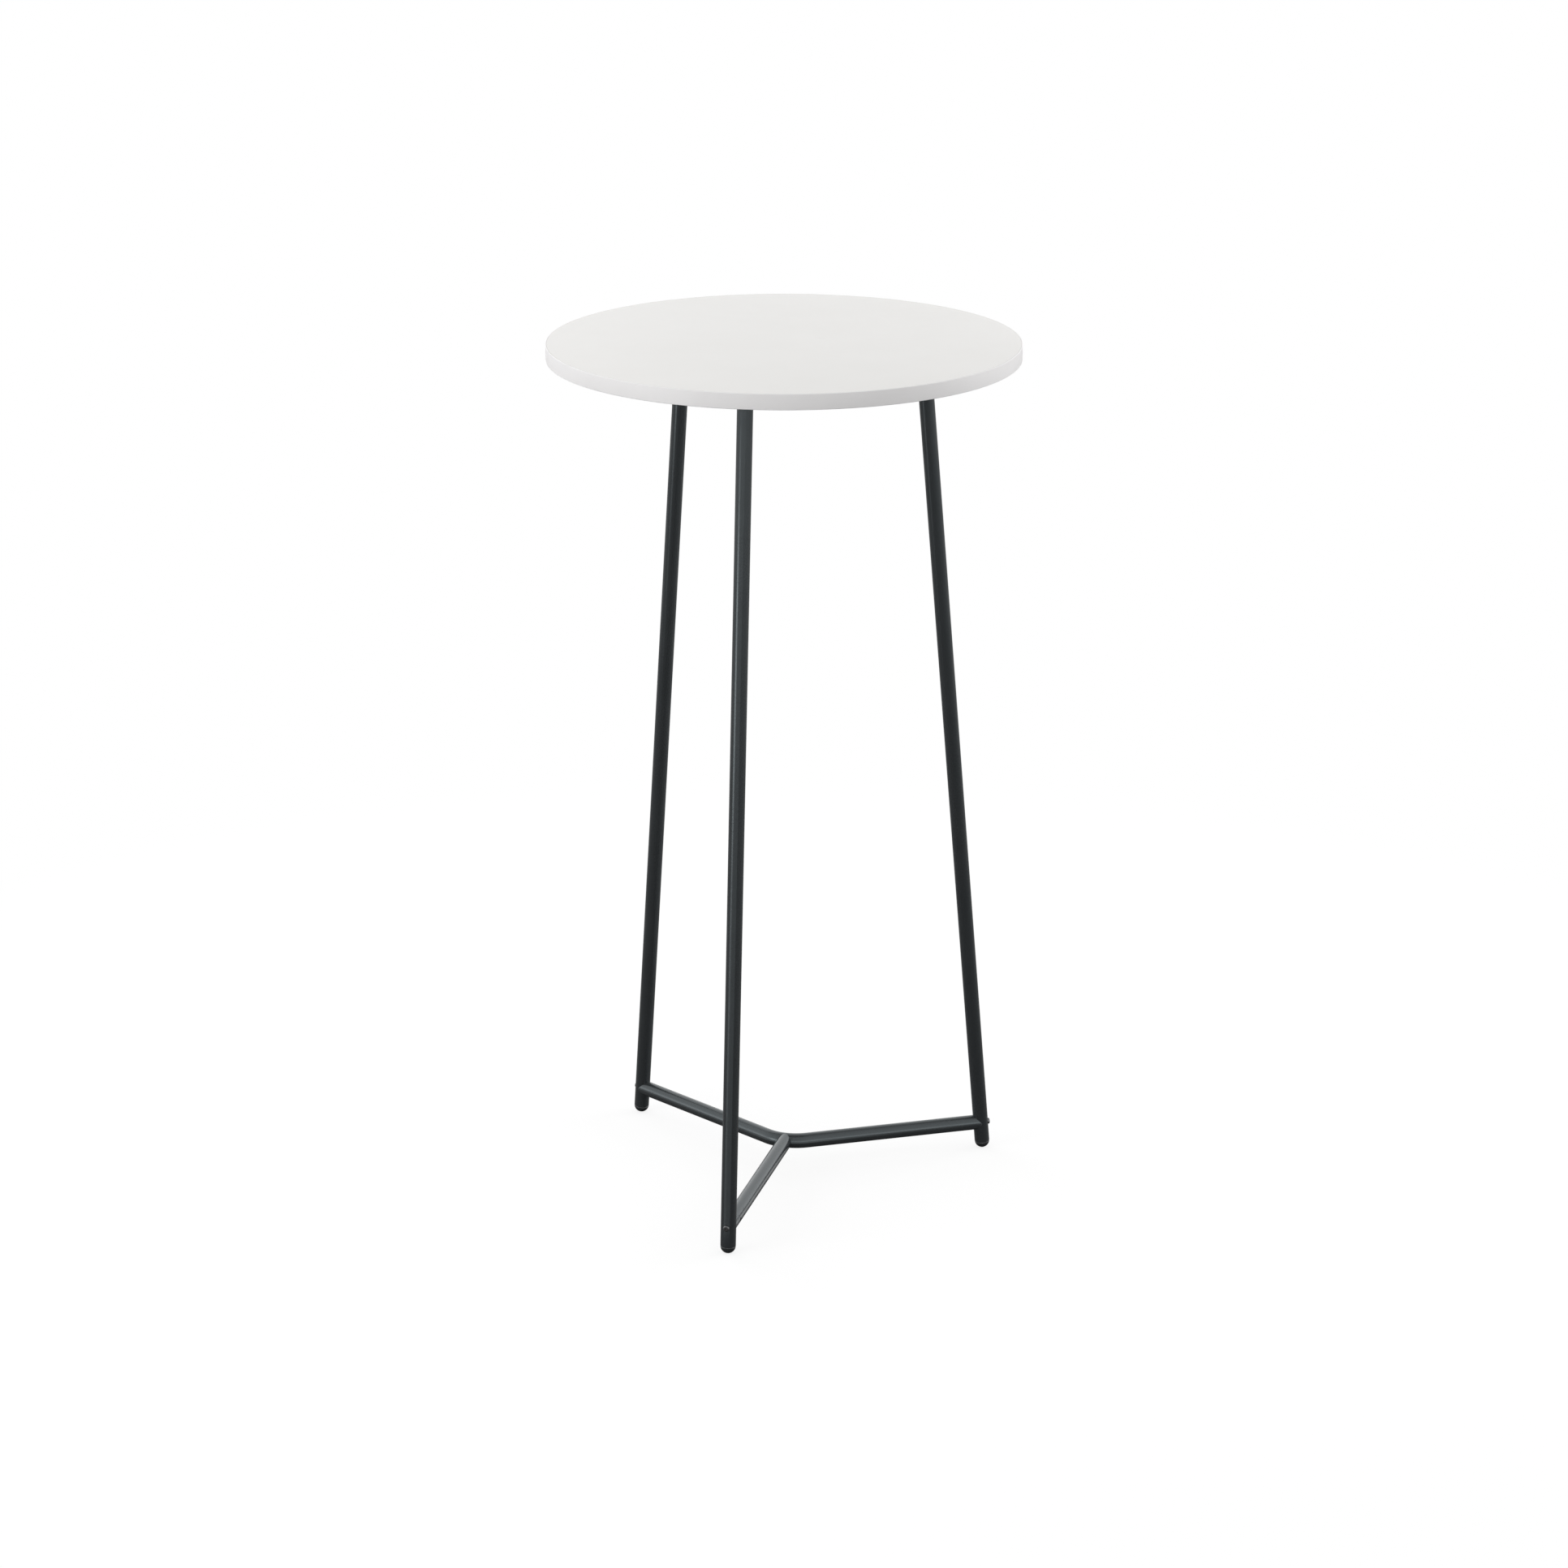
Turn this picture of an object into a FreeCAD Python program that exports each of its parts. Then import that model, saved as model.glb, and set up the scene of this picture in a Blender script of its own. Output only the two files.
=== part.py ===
import FreeCAD, Part
import Sketcher
import os
from FreeCAD import Vector

# High table: a round laminated top on three leaning tube legs, tied near the floor
# by a Y-shaped stretcher. Origin on the floor under the middle of the top, +Z up,
# the front leg towards -Y. Lengths in millimetres, angles in degrees.

doc = FreeCAD.newDocument("high_table")
doc.UndoMode = 0

driving_sizes = {
    # whole table
    "table_height": 1130,
    "foot_circle_diameter": 558,
    "leg_lean_angle": 5,
    "fit_clearance": 0.05,
    "cut_overrun": 5,
    # round top
    "top_diameter": 600,
    "top_thickness": 20,
    "laminate_thickness": 0.8,
    "edge_band_thickness": 1.3,
    "edge_band_rounding": 1,
    # leg tubes
    "leg_diameter": 20,
    "leg_wall": 2,
    "leg_end_chamfer": 0.3,
    # mounting plates, their welds, screws and inserts
    "plate_diameter": 80,
    "plate_thickness": 4,
    "plate_edge_rounding": 1,
    "weld_size": 3,
    "screw_circle_diameter": 58,
    "screw_diameter": 6,
    "screw_length": 16,
    "screw_head_diameter": 11.3,
    "screw_socket_width": 4,
    "screw_socket_depth": 2,
    "screw_tip_chamfer": 0.8,
    "plate_hole_diameter": 6.4,
    "insert_diameter": 10,
    "insert_length": 13,
    "insert_thread_pitch": 2.5,
    "insert_thread_height": 0.8,
    "insert_hole_depth": 15,
    # stretcher tubes
    "stretcher_offset": 27,
    "stretcher_diameter": 20,
    "stretcher_wall": 1.5,
    "stretcher_bend_radius": 55,
    "cope_tip_land": 0.5,
    "vent_hole_diameter": 4.5,
    "vent_hole_distance": 13,
    # threaded plugs and bolts at the stretcher ends
    "plug_length": 8,
    "plug_setback": 1,
    "plug_chamfer": 0.5,
    "bolt_diameter": 5,
    "bolt_length": 30,
    "bolt_hole_diameter": 5.4,
    "bolt_head_diameter": 8.5,
    "bolt_head_height": 3.5,
    "bolt_head_rounding": 1,
    "bolt_socket_width": 3,
    "bolt_socket_depth": 2,
    "bolt_tip_chamfer": 0.6,
    # dome feet
    "foot_seam_chamfer": 0.5,
    "foot_stem_length": 15,
    "foot_stem_wall": 2,
    "foot_floor_height": 2,
    "foot_rib_height": 0.6,
    "foot_rib_pitch": 4,
    "foot_rib_width": 1.5,
}

sizes = doc.addObject("Spreadsheet::Sheet", "sizes")
for row, (alias, value) in enumerate(driving_sizes.items(), start=1):
    sizes.set(f"A{row}", alias)
    sizes.set(f"B{row}", str(value))
    sizes.setAlias(f"B{row}", alias)
doc.recompute()

# Counts of what repeats, and the turns between them
arm_count = 3
arm_azimuths = {"front": 0, "right": 360 / arm_count, "left": 2 * 360 / arm_count}
arm_half_turn = 90 - 180 / arm_count
plate_screw_count = 4
plate_screw_turn = 180 / plate_screw_count
insert_thread_count = 4
foot_rib_count = 3
hexagon_sides = 6
up = Vector(0, 0, 1)
down = Vector(0, 0, -1)
forward = Vector(0, -1, 0)

# Places worked out from the driving sizes
leg_radius = "(sizes.leg_diameter / 2)"
leg_bore_radius = "(sizes.leg_diameter / 2 - sizes.leg_wall)"
foot_circle_radius = "(sizes.foot_circle_diameter / 2)"
foot_centre_height = leg_radius
top_underside = "(sizes.table_height - sizes.top_thickness)"
plate_underside = f"({top_underside} - sizes.plate_thickness)"
core_diameter = "(sizes.top_diameter - 2 * sizes.edge_band_thickness)"
core_thickness = "(sizes.top_thickness - 2 * sizes.laminate_thickness)"
leg_length = f"(({plate_underside} - {foot_centre_height}) / cos(sizes.leg_lean_angle))"
plate_reach = f"({foot_circle_radius} - {leg_length} * sin(sizes.leg_lean_angle))"
stretcher_height = f"({foot_centre_height} + sizes.stretcher_offset * cos(sizes.leg_lean_angle))"
stretcher_reach = f"({foot_circle_radius} - sizes.stretcher_offset * sin(sizes.leg_lean_angle))"
stretcher_radius = "(sizes.stretcher_diameter / 2)"
stretcher_bore_radius = "(sizes.stretcher_diameter / 2 - sizes.stretcher_wall)"
bend_apex = f"(sizes.stretcher_bend_radius * (1 / cos({arm_half_turn}) - 1))"
bend_tangent = f"(sizes.stretcher_bend_radius * tan({arm_half_turn}))"
bolt_head_radius = "(sizes.bolt_head_diameter / 2)"
bolt_thread_radius = "(sizes.bolt_diameter / 2)"
bolt_seat = f"sqrt({leg_radius} ^ 2 - ({bolt_head_radius} + sizes.fit_clearance) ^ 2)"
screw_reach = "(sizes.screw_circle_diameter / 2)"
screw_radius = "(sizes.screw_diameter / 2)"
screw_head_radius = "(sizes.screw_head_diameter / 2)"
plate_hole_radius = "(sizes.plate_hole_diameter / 2)"
insert_hole_radius = "(sizes.insert_diameter / 2 + sizes.fit_clearance)"


def placing(x="0", y="0", z="0", axis="0; 0; 1", angle="0"):
    """Expression of a placement: a shift along x, y, z after a turn about axis."""
    return f"placement(vector({x}; {y}; {z}); rotation(vector({axis}); {angle}))"


def leg_frame(azimuth):
    """Frame of one leg: origin at the middle of its dome, +Z up along the tube."""
    lean = placing(y=f"-{foot_circle_radius}", z=foot_centre_height, axis="1; 0; 0",
                   angle="-sizes.leg_lean_angle")
    return placing(angle=azimuth) + " * " + lean


def arm_frame(azimuth):
    """Frame of one stretcher arm: origin on the table's axis, the arm towards -Y."""
    return placing(z=stretcher_height, angle=azimuth)


def plate_frame(azimuth):
    """Frame of one plate: origin where the leg's axis meets the plate's underside."""
    return placing(angle=azimuth) + " * " + placing(y=f"-{plate_reach}", z=plate_underside)


def add_body(label, frame):
    body = doc.addObject("PartDesign::Body", label)
    body.Label = label
    body.AllowCompound = True
    body.setExpression("Placement", frame)
    return body


def origin_plane(body, role):
    return next(item for item in body.Origin.OriginFeatures if item.Role == role)


def add_sketch(body, name, role, offset=None):
    sketch = body.newObject("Sketcher::SketchObject", name)
    sketch.AttachmentSupport = (origin_plane(body, role), [""])
    sketch.MapMode = "FlatFace"
    if offset:
        sketch.setExpression("AttachmentOffset", offset)
    return sketch


def add_size(sketch, name, expression, kind, *places):
    """Dimension of a sketch that follows an expression of the driving sizes."""
    constraint = sketch.addConstraint(Sketcher.Constraint(kind, *places, 1.0))
    sketch.renameConstraint(constraint, name)
    sketch.setExpression("Constraints." + name, expression)


def add_point_sizes(sketch, name, geometry, end, point):
    add_size(sketch, name + "_across", point[0], "DistanceX", -1, 1, geometry, end)
    add_size(sketch, name + "_up", point[1], "DistanceY", -1, 1, geometry, end)


def add_outline(sketch, points):
    """Closed outline of straight edges through points given as expressions."""
    count = len(points)
    corners = [Vector(place, place * place, 0) for place in range(count)]
    first = sketch.GeometryCount
    for place in range(count):
        sketch.addGeometry(Part.LineSegment(corners[place], corners[(place + 1) % count]), False)
    for place in range(count):
        following = first + (place + 1) % count
        sketch.addConstraint(Sketcher.Constraint("Coincident", first + place, 2, following, 1))
    for place, point in enumerate(points):
        add_point_sizes(sketch, f"point{first + place}", first + place, 1, point)


def add_circle(sketch, radius, centre=("0", "0")):
    circle = sketch.addGeometry(Part.Circle(Vector(0, 0, 0), up, 1), False)
    add_size(sketch, f"radius{circle}", radius, "Radius", circle)
    add_point_sizes(sketch, f"centre{circle}", circle, 3, centre)


def hexagon_points(width):
    """Corners of a hexagonal socket of the given width across its flats."""
    turn = 360 / hexagon_sides
    corner_radius = f"{width} / (2 * cos({turn / 2}))"
    angles = [turn * side for side in range(hexagon_sides)]
    return [(f"{corner_radius} * cos({angle})", f"{corner_radius} * sin({angle})") for angle in angles]


def add_feature(body, kind, name, profile, **settings):
    feature = body.newObject("PartDesign::" + kind, name)
    feature.Profile = profile
    for setting, value in settings.items():
        setattr(feature, setting, value)
    body.Tip = feature
    return feature


def add_pad(body, name, profile, length):
    pad = add_feature(body, "Pad", name, profile)
    pad.setExpression("Length", length)
    return pad


def add_pocket(body, name, profile, depth, **settings):
    pocket = add_feature(body, "Pocket", name, profile, **settings)
    pocket.setExpression("Length", depth)
    return pocket


def add_turned(body, kind, name, profile, axis):
    """Revolution or groove of a full turn about one of the sketch's own axes."""
    return add_feature(body, kind, name, profile, ReferenceAxis=(profile, [axis]), Angle=360)


def add_pattern(body, name, axis, count, mode, originals=()):
    pattern = body.newObject("PartDesign::PolarPattern", name)
    pattern.TransformMode = mode
    pattern.Originals = list(originals)
    pattern.Axis = axis
    pattern.Angle = 360
    pattern.Occurrences = count
    body.Tip = pattern
    return pattern


def furthest_rim(feature, radius, direction):
    """Name of the round edge of this radius that lies furthest along the direction."""
    rims = {}
    for place, edge in enumerate(feature.Shape.Edges, start=1):
        if not isinstance(edge.Curve, Part.Circle):
            continue
        if abs(edge.Curve.Radius - radius) < Part.Precision.confusion():
            rims[f"Edge{place}"] = edge.Curve.Center.dot(direction)
    return max(rims, key=rims.get)


def finish_rims(body, kind, base, radius, directions, size_name, size):
    """Rounds or chamfers the outermost round edges of a turned or padded blank."""
    doc.recompute()
    finish = body.newObject("PartDesign::" + kind, body.Label + "_rims")
    finish.Base = (base, [furthest_rim(base, radius, direction) for direction in directions])
    finish.setExpression(size_name, size)
    body.Tip = finish


def screw_axis_offset():
    """Upright sketch frame on a plate screw's axis, seen from the plate's middle."""
    return placing(axis="0; 1; 0", angle=plate_screw_turn) + " * " + placing(x=screw_reach)


def front_screw_axis_offset():
    """The same frame seen from the table's axis, on the front leg's plate."""
    return placing(z=plate_reach) + " * " + screw_axis_offset()


def pattern_on_all_plates(body):
    """Repeats the piece on the front plate's screws, and then on each plate."""
    middle = add_sketch(body, body.Label + "_plate_middle", "XY_Plane", placing(y=f"-{plate_reach}"))
    add_pattern(body, body.Label + "_on_plate", (middle, ["N_Axis"]), plate_screw_count, "Whole shape")
    table_axis = (origin_plane(body, "Z_Axis"), [""])
    add_pattern(body, body.Label + "_on_table", table_axis, arm_count, "Whole shape")


def drill_insert_holes(body, depth):
    """Round holes up into the top's underside, one for each insert."""
    sketch = add_sketch(body, body.Label + "_insert_holes", "XY_Plane")
    for side in range(plate_screw_count):
        angle = plate_screw_turn + side * 360 / plate_screw_count
        centre = (f"{screw_reach} * cos({angle})", f"{screw_reach} * sin({angle}) - {plate_reach}")
        add_circle(sketch, insert_hole_radius, centre)
    pocket = add_pocket(body, body.Label + "_insert_pocket", sketch, depth, Reversed=True)
    table_axis = (origin_plane(body, "Z_Axis"), [""])
    add_pattern(body, body.Label + "_insert_pattern", table_axis, arm_count, "Features", [pocket])


def make_tabletop_core():
    body = add_body("tabletop_core", placing(z=f"{top_underside} + sizes.laminate_thickness"))
    disc = add_sketch(body, "core_disc", "XY_Plane")
    add_circle(disc, f"{core_diameter} / 2")
    add_pad(body, "core_board", disc, core_thickness)
    drill_insert_holes(body, "sizes.insert_hole_depth - sizes.laminate_thickness")
    return body


def make_laminate(label, height, drilled):
    body = add_body(label, placing(z=height))
    disc = add_sketch(body, label + "_disc", "XY_Plane")
    add_circle(disc, f"{core_diameter} / 2")
    add_pad(body, label + "_sheet", disc, "sizes.laminate_thickness")
    if drilled:
        drill_insert_holes(body, "sizes.laminate_thickness")
    return body


def make_edge_band():
    body = add_body("tabletop_edge_band", placing(z=top_underside))
    ring = add_sketch(body, "edge_band_ring", "XY_Plane")
    add_circle(ring, "sizes.top_diameter / 2")
    add_circle(ring, f"{core_diameter} / 2")
    band = add_pad(body, "edge_band_strip", ring, "sizes.top_thickness")
    rim_radius = sizes.top_diameter / 2
    finish_rims(body, "Fillet", band, rim_radius, [down, up], "Radius", "sizes.edge_band_rounding")
    return body


def cut_level_with_plate(body, width):
    """Cuts away what stands above the plate's underside, in a leg's own frame."""
    offset = placing(y=leg_length, angle="sizes.leg_lean_angle")
    sketch = add_sketch(body, body.Label + "_level", "YZ_Plane", offset)
    add_outline(sketch, [(f"-{width}", "0"), (width, "0"), (width, width), (f"-{width}", width)])
    add_pocket(body, body.Label + "_level_cut", sketch, f"2 * {width}", SideType="Symmetric")


def make_leg_tube(name, azimuth):
    body = add_body(f"{name}_leg_tube", leg_frame(azimuth))
    ring = add_sketch(body, f"{name}_leg_ring", "XY_Plane")
    add_circle(ring, leg_radius)
    add_circle(ring, leg_bore_radius)
    blank = add_pad(body, f"{name}_leg_blank", ring, f"{leg_length} + sizes.leg_diameter / 2")
    finish_rims(body, "Chamfer", blank, sizes.leg_diameter / 2, [down], "Size", "sizes.leg_end_chamfer")
    cut_level_with_plate(body, "sizes.leg_diameter")

    # The bolt's cross hole, level with the floor, and the flat seat under its head
    offset = placing(y="sizes.stretcher_offset", angle="sizes.leg_lean_angle")
    hole = add_sketch(body, f"{name}_leg_bolt_hole", "YZ_Plane", offset)
    hole_radius = "sizes.bolt_hole_diameter / 2"
    seat_radius = f"{bolt_head_radius} + sizes.fit_clearance"
    add_outline(hole, [
        ("-sizes.leg_diameter", "0"),
        ("sizes.leg_diameter", "0"),
        ("sizes.leg_diameter", hole_radius),
        (f"-{bolt_seat}", hole_radius),
        (f"-{bolt_seat}", seat_radius),
        ("-sizes.leg_diameter", seat_radius),
    ])
    add_turned(body, "Groove", f"{name}_leg_bolt_bore", hole, "H_Axis")
    return body


def make_leg_weld(name, azimuth):
    """Fillet weld between a leaning tube and its level plate."""
    body = add_body(f"{name}_leg_weld", leg_frame(azimuth))
    section = add_sketch(body, f"{name}_weld_section", "XZ_Plane")
    toe = f"({leg_length} - sizes.weld_size)"
    face = f"(sizes.weld_size + 2 * ({leg_radius} + sizes.weld_size) * tan(sizes.leg_lean_angle))"
    add_outline(section, [
        (leg_radius, toe),
        (f"{leg_radius} + {face}", f"{toe} + {face}"),
        (leg_radius, f"{toe} + {face}"),
    ])
    add_turned(body, "Revolution", f"{name}_weld_ring", section, "V_Axis")
    cut_level_with_plate(body, "sizes.leg_diameter")
    return body


def make_leg_plate(name, azimuth):
    body = add_body(f"{name}_leg_plate", plate_frame(azimuth))
    disc = add_sketch(body, f"{name}_plate_disc", "XY_Plane")
    add_circle(disc, "sizes.plate_diameter / 2")
    plate = add_pad(body, f"{name}_plate_blank", disc, "sizes.plate_thickness")
    rim_radius = sizes.plate_diameter / 2
    finish_rims(body, "Fillet", plate, rim_radius, [down], "Radius", "sizes.plate_edge_rounding")

    # Countersunk holes that the screw heads lie in
    hole = add_sketch(body, f"{name}_plate_hole", "XZ_Plane", screw_axis_offset())
    add_outline(hole, [
        ("0", "0"),
        (screw_head_radius, "0"),
        (plate_hole_radius, f"{screw_head_radius} - {plate_hole_radius}"),
        (plate_hole_radius, "sizes.plate_thickness + sizes.cut_overrun"),
        ("0", "sizes.plate_thickness + sizes.cut_overrun"),
    ])
    drilled = add_turned(body, "Groove", f"{name}_plate_countersink", hole, "V_Axis")
    upright = (origin_plane(body, "Z_Axis"), [""])
    add_pattern(body, f"{name}_plate_holes", upright, plate_screw_count, "Features", [drilled])
    return body


def make_plate_screws():
    """Countersunk screws, up through the plates into the inserts."""
    body = add_body("plate_screws", placing(z=plate_underside))
    section = add_sketch(body, "screw_section", "XZ_Plane", front_screw_axis_offset())
    head_radius = f"({screw_head_radius} - sizes.fit_clearance)"
    add_outline(section, [
        ("0", "0"),
        (head_radius, "0"),
        (screw_radius, f"{head_radius} - {screw_radius}"),
        (screw_radius, "sizes.screw_length - sizes.screw_tip_chamfer"),
        (f"{screw_radius} - sizes.screw_tip_chamfer", "sizes.screw_length"),
        ("0", "sizes.screw_length"),
    ])
    add_turned(body, "Revolution", "screw_blank", section, "V_Axis")
    socket_x = f"{screw_reach} * cos({plate_screw_turn})"
    socket_y = f"{screw_reach} * sin({plate_screw_turn}) - {plate_reach}"
    socket = add_sketch(body, "screw_socket", "XY_Plane", placing(x=socket_x, y=socket_y))
    add_outline(socket, hexagon_points("sizes.screw_socket_width"))
    add_pocket(body, "screw_socket_cut", socket, "sizes.screw_socket_depth", Reversed=True)
    pattern_on_all_plates(body)
    return body


def make_tabletop_inserts():
    """Threaded inserts in the board: a bore for the screw, and coarse wood threads."""
    body = add_body("tabletop_inserts", placing(z=top_underside))
    section = add_sketch(body, "insert_section", "XZ_Plane", front_screw_axis_offset())
    bore = f"{screw_radius} + sizes.fit_clearance"
    crest = "sizes.insert_diameter / 2"
    root = f"{crest} - sizes.insert_thread_height"
    points = [(bore, "0"), (crest, "0")]
    for thread in range(insert_thread_count):
        valley = f"({thread} + 1) * sizes.insert_thread_pitch"
        points.append((crest, f"{valley} - sizes.insert_thread_height"))
        points.append((root, f"{valley}"))
        points.append((crest, f"{valley} + sizes.insert_thread_height"))
    points.append((crest, "sizes.insert_length - sizes.insert_thread_height"))
    points.append((root, "sizes.insert_length"))
    points.append((bore, "sizes.insert_length"))
    add_outline(section, points)
    add_turned(body, "Revolution", "insert_blank", section, "V_Axis")
    pattern_on_all_plates(body)
    return body


def make_foot(name, azimuth):
    """Dome foot: a half ball as wide as the tube, on a ribbed hollow stem."""
    body = add_body(f"{name}_foot", leg_frame(azimuth))
    section = add_sketch(body, f"{name}_foot_section", "XZ_Plane")
    rib = f"({leg_bore_radius} - sizes.fit_clearance)"
    stem = f"({rib} - sizes.foot_rib_height)"
    hollow = f"({stem} - sizes.foot_stem_wall)"
    points = [(f"{leg_radius} - sizes.foot_seam_chamfer", "0"), (stem, "0")]
    for place in range(foot_rib_count):
        rib_top = f"({place} + 1) * sizes.foot_rib_pitch"
        points.append((stem, f"{rib_top} - sizes.foot_rib_width"))
        points.append((rib, f"{rib_top} - sizes.foot_rib_height"))
        points.append((rib, rib_top))
        points.append((stem, rib_top))
    points.append((stem, "sizes.foot_stem_length"))
    points.append((hollow, "sizes.foot_stem_length"))
    points.append((hollow, "sizes.foot_floor_height"))
    points.append(("0", "sizes.foot_floor_height"))
    points.append(("0", f"-{leg_radius}"))
    dome_edge = f"sqrt({leg_radius} ^ 2 - sizes.foot_seam_chamfer ^ 2)"
    points.append((dome_edge, "-sizes.foot_seam_chamfer"))
    add_outline(section, points)

    # The chord from the lowest point to the seam becomes the dome's round edge
    chord = len(points) - 2
    bulge = Part.ArcOfCircle(Vector(0, -1, 0), Vector(1, -1, 0) / 2 ** 0.5, Vector(1, 0, 0))
    arc = section.addGeometry(bulge, False)
    section.setConstruction(chord, True)
    section.addConstraint(Sketcher.Constraint("Coincident", arc, 1, chord, 1))
    section.addConstraint(Sketcher.Constraint("Coincident", arc, 2, chord, 2))
    section.addConstraint(Sketcher.Constraint("PointOnObject", arc, 3, -2))
    add_turned(body, "Revolution", f"{name}_foot_moulding", section, "V_Axis")
    return body


def make_straight_stretcher():
    """Straight tube from the outside of the bend to the front leg."""
    body = add_body("straight_stretcher_tube", arm_frame(0))
    start = f"({bend_apex} - sizes.cope_tip_land)"
    ring = add_sketch(body, "straight_tube_ring", "XZ_Plane", placing(z=f"-{start}"))
    add_circle(ring, stretcher_radius)
    add_circle(ring, stretcher_bore_radius)
    add_pad(body, "straight_tube_blank", ring, f"{start} + {stretcher_reach} - sizes.cope_tip_land")

    # Rounded hollow that fits the front leg
    offset = placing(x=f"-{stretcher_reach}", angle="-sizes.leg_lean_angle")
    add_leg_cope(body, "straight_tube_leg_cope", "YZ_Plane", offset)

    # Rounded hollow that fits the outside of the bend
    offset = placing(x=f"{bend_apex} + sizes.stretcher_bend_radius")
    torus = add_sketch(body, "straight_tube_bend_section", "YZ_Plane", offset)
    add_circle(torus, f"{stretcher_radius} + sizes.fit_clearance", ("-sizes.stretcher_bend_radius", "0"))
    add_turned(body, "Groove", "straight_tube_bend_cope", torus, "V_Axis")

    vent = add_sketch(body, "straight_tube_vent", "YZ_Plane")
    vent_reach = f"{stretcher_reach} - {leg_radius} - sizes.vent_hole_distance"
    add_circle(vent, "sizes.vent_hole_diameter / 2", (f"-({vent_reach})", "0"))
    add_pocket(body, "straight_tube_vent_hole", vent, "sizes.stretcher_diameter", Reversed=True)
    return body


def add_leg_cope(body, name, role, offset):
    """Takes a leg's own cylinder out of a stretcher tube's end."""
    sketch = add_sketch(body, name + "_section", role, offset)
    radius = f"({leg_radius} + sizes.fit_clearance)"
    reach = "sizes.stretcher_diameter"
    add_outline(sketch, [("0", f"-{reach}"), (radius, f"-{reach}"), (radius, reach), ("0", reach)])
    add_turned(body, "Groove", name, sketch, "V_Axis")


def make_bent_stretcher():
    """Bent tube from the left leg to the right leg: half of it, and its mirror image."""
    body = add_body("bent_stretcher_tube", arm_frame(0))
    path = add_sketch(body, "bent_tube_path", "XY_Plane")
    bend = Part.ArcOfCircle(Vector(0, -1, 0), Vector(1, -1, 0) / 2 ** 0.5, Vector(1, 0, 0))
    path.addGeometry(bend, False)
    path.addGeometry(Part.LineSegment(Vector(1, 0, 0), Vector(1, 1, 0)), False)
    path.addConstraint(Sketcher.Constraint("Tangent", 0, 2, 1, 1))
    path.addConstraint(Sketcher.Constraint("PointOnObject", 0, 3, -2))
    path.addConstraint(Sketcher.Constraint("PointOnObject", 0, 1, -2))
    add_size(path, "bend_radius", "sizes.stretcher_bend_radius", "Radius", 0)
    add_size(path, "apex", bend_apex, "DistanceY", -1, 1, 0, 1)
    arm_length = f"({stretcher_reach} - {bend_tangent} - sizes.cope_tip_land)"
    add_point_sizes(path, "arm", 1, 2, (
        f"({bend_tangent} + {arm_length}) * cos({arm_half_turn})",
        f"({bend_tangent} + {arm_length}) * sin({arm_half_turn})",
    ))
    ring = add_sketch(body, "bent_tube_ring", "YZ_Plane")
    add_circle(ring, stretcher_radius, (bend_apex, "0"))
    add_circle(ring, stretcher_bore_radius, (bend_apex, "0"))
    doc.recompute()
    add_feature(body, "AdditivePipe", "bent_tube_half", ring, Spine=(path, ["Edge1", "Edge2"]))

    upright = placing(axis="0; 1; 0", angle=arm_half_turn)
    offset = upright + " * " + placing(x=stretcher_reach, angle="sizes.leg_lean_angle")
    add_leg_cope(body, "bent_tube_leg_cope", "XZ_Plane", offset)
    mirror = body.newObject("PartDesign::Mirrored", "bent_tube_mirror")
    mirror.TransformMode = "Whole shape"
    mirror.MirrorPlane = (origin_plane(body, "YZ_Plane"), [""])
    body.Tip = mirror
    return body


def make_stretcher_plug(name, azimuth):
    """Turned steel plug with a threaded bore, pressed into a stretcher's end."""
    body = add_body(f"{name}_stretcher_plug", arm_frame(azimuth))
    plug_face = f"({stretcher_reach} - {leg_radius} - sizes.plug_setback)"
    offset = placing(x=f"-{plug_face}")
    section = add_sketch(body, f"{name}_plug_section", "YZ_Plane", offset)
    bore = f"({bolt_thread_radius} + sizes.fit_clearance)"
    outside = stretcher_bore_radius
    chamfered = f"({outside} - sizes.plug_chamfer)"
    add_outline(section, [
        ("0", bore),
        ("0", chamfered),
        ("sizes.plug_chamfer", outside),
        ("sizes.plug_length - sizes.plug_chamfer", outside),
        ("sizes.plug_length", chamfered),
        ("sizes.plug_length", bore),
    ])
    add_turned(body, "Revolution", f"{name}_plug_turning", section, "H_Axis")
    return body


def make_stretcher_bolts():
    """Low-headed bolts, from outside each leg into the stretcher's plugs."""
    body = add_body("stretcher_bolts", arm_frame(0))
    section = add_sketch(body, "bolt_section", "YZ_Plane", placing(x=f"-{stretcher_reach} - {bolt_seat}"))
    add_outline(section, [
        ("-sizes.bolt_head_height", "0"),
        ("-sizes.bolt_head_height", bolt_head_radius),
        ("0", bolt_head_radius),
        ("0", bolt_thread_radius),
        ("sizes.bolt_length - sizes.bolt_tip_chamfer", bolt_thread_radius),
        ("sizes.bolt_length", f"{bolt_thread_radius} - sizes.bolt_tip_chamfer"),
        ("sizes.bolt_length", "0"),
    ])
    blank = add_turned(body, "Revolution", "bolt_blank", section, "H_Axis")
    rim_radius = sizes.bolt_head_diameter / 2
    finish_rims(body, "Fillet", blank, rim_radius, [forward], "Radius", "sizes.bolt_head_rounding")
    head_end = f"{stretcher_reach} + {bolt_seat} + sizes.bolt_head_height"
    socket = add_sketch(body, "bolt_socket", "XZ_Plane", placing(z=head_end))
    add_outline(socket, hexagon_points("sizes.bolt_socket_width"))
    add_pocket(body, "bolt_socket_cut", socket, "sizes.bolt_socket_depth")
    table_axis = (origin_plane(body, "Z_Axis"), [""])
    add_pattern(body, "bolts_on_table", table_axis, arm_count, "Whole shape")
    return body


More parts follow.
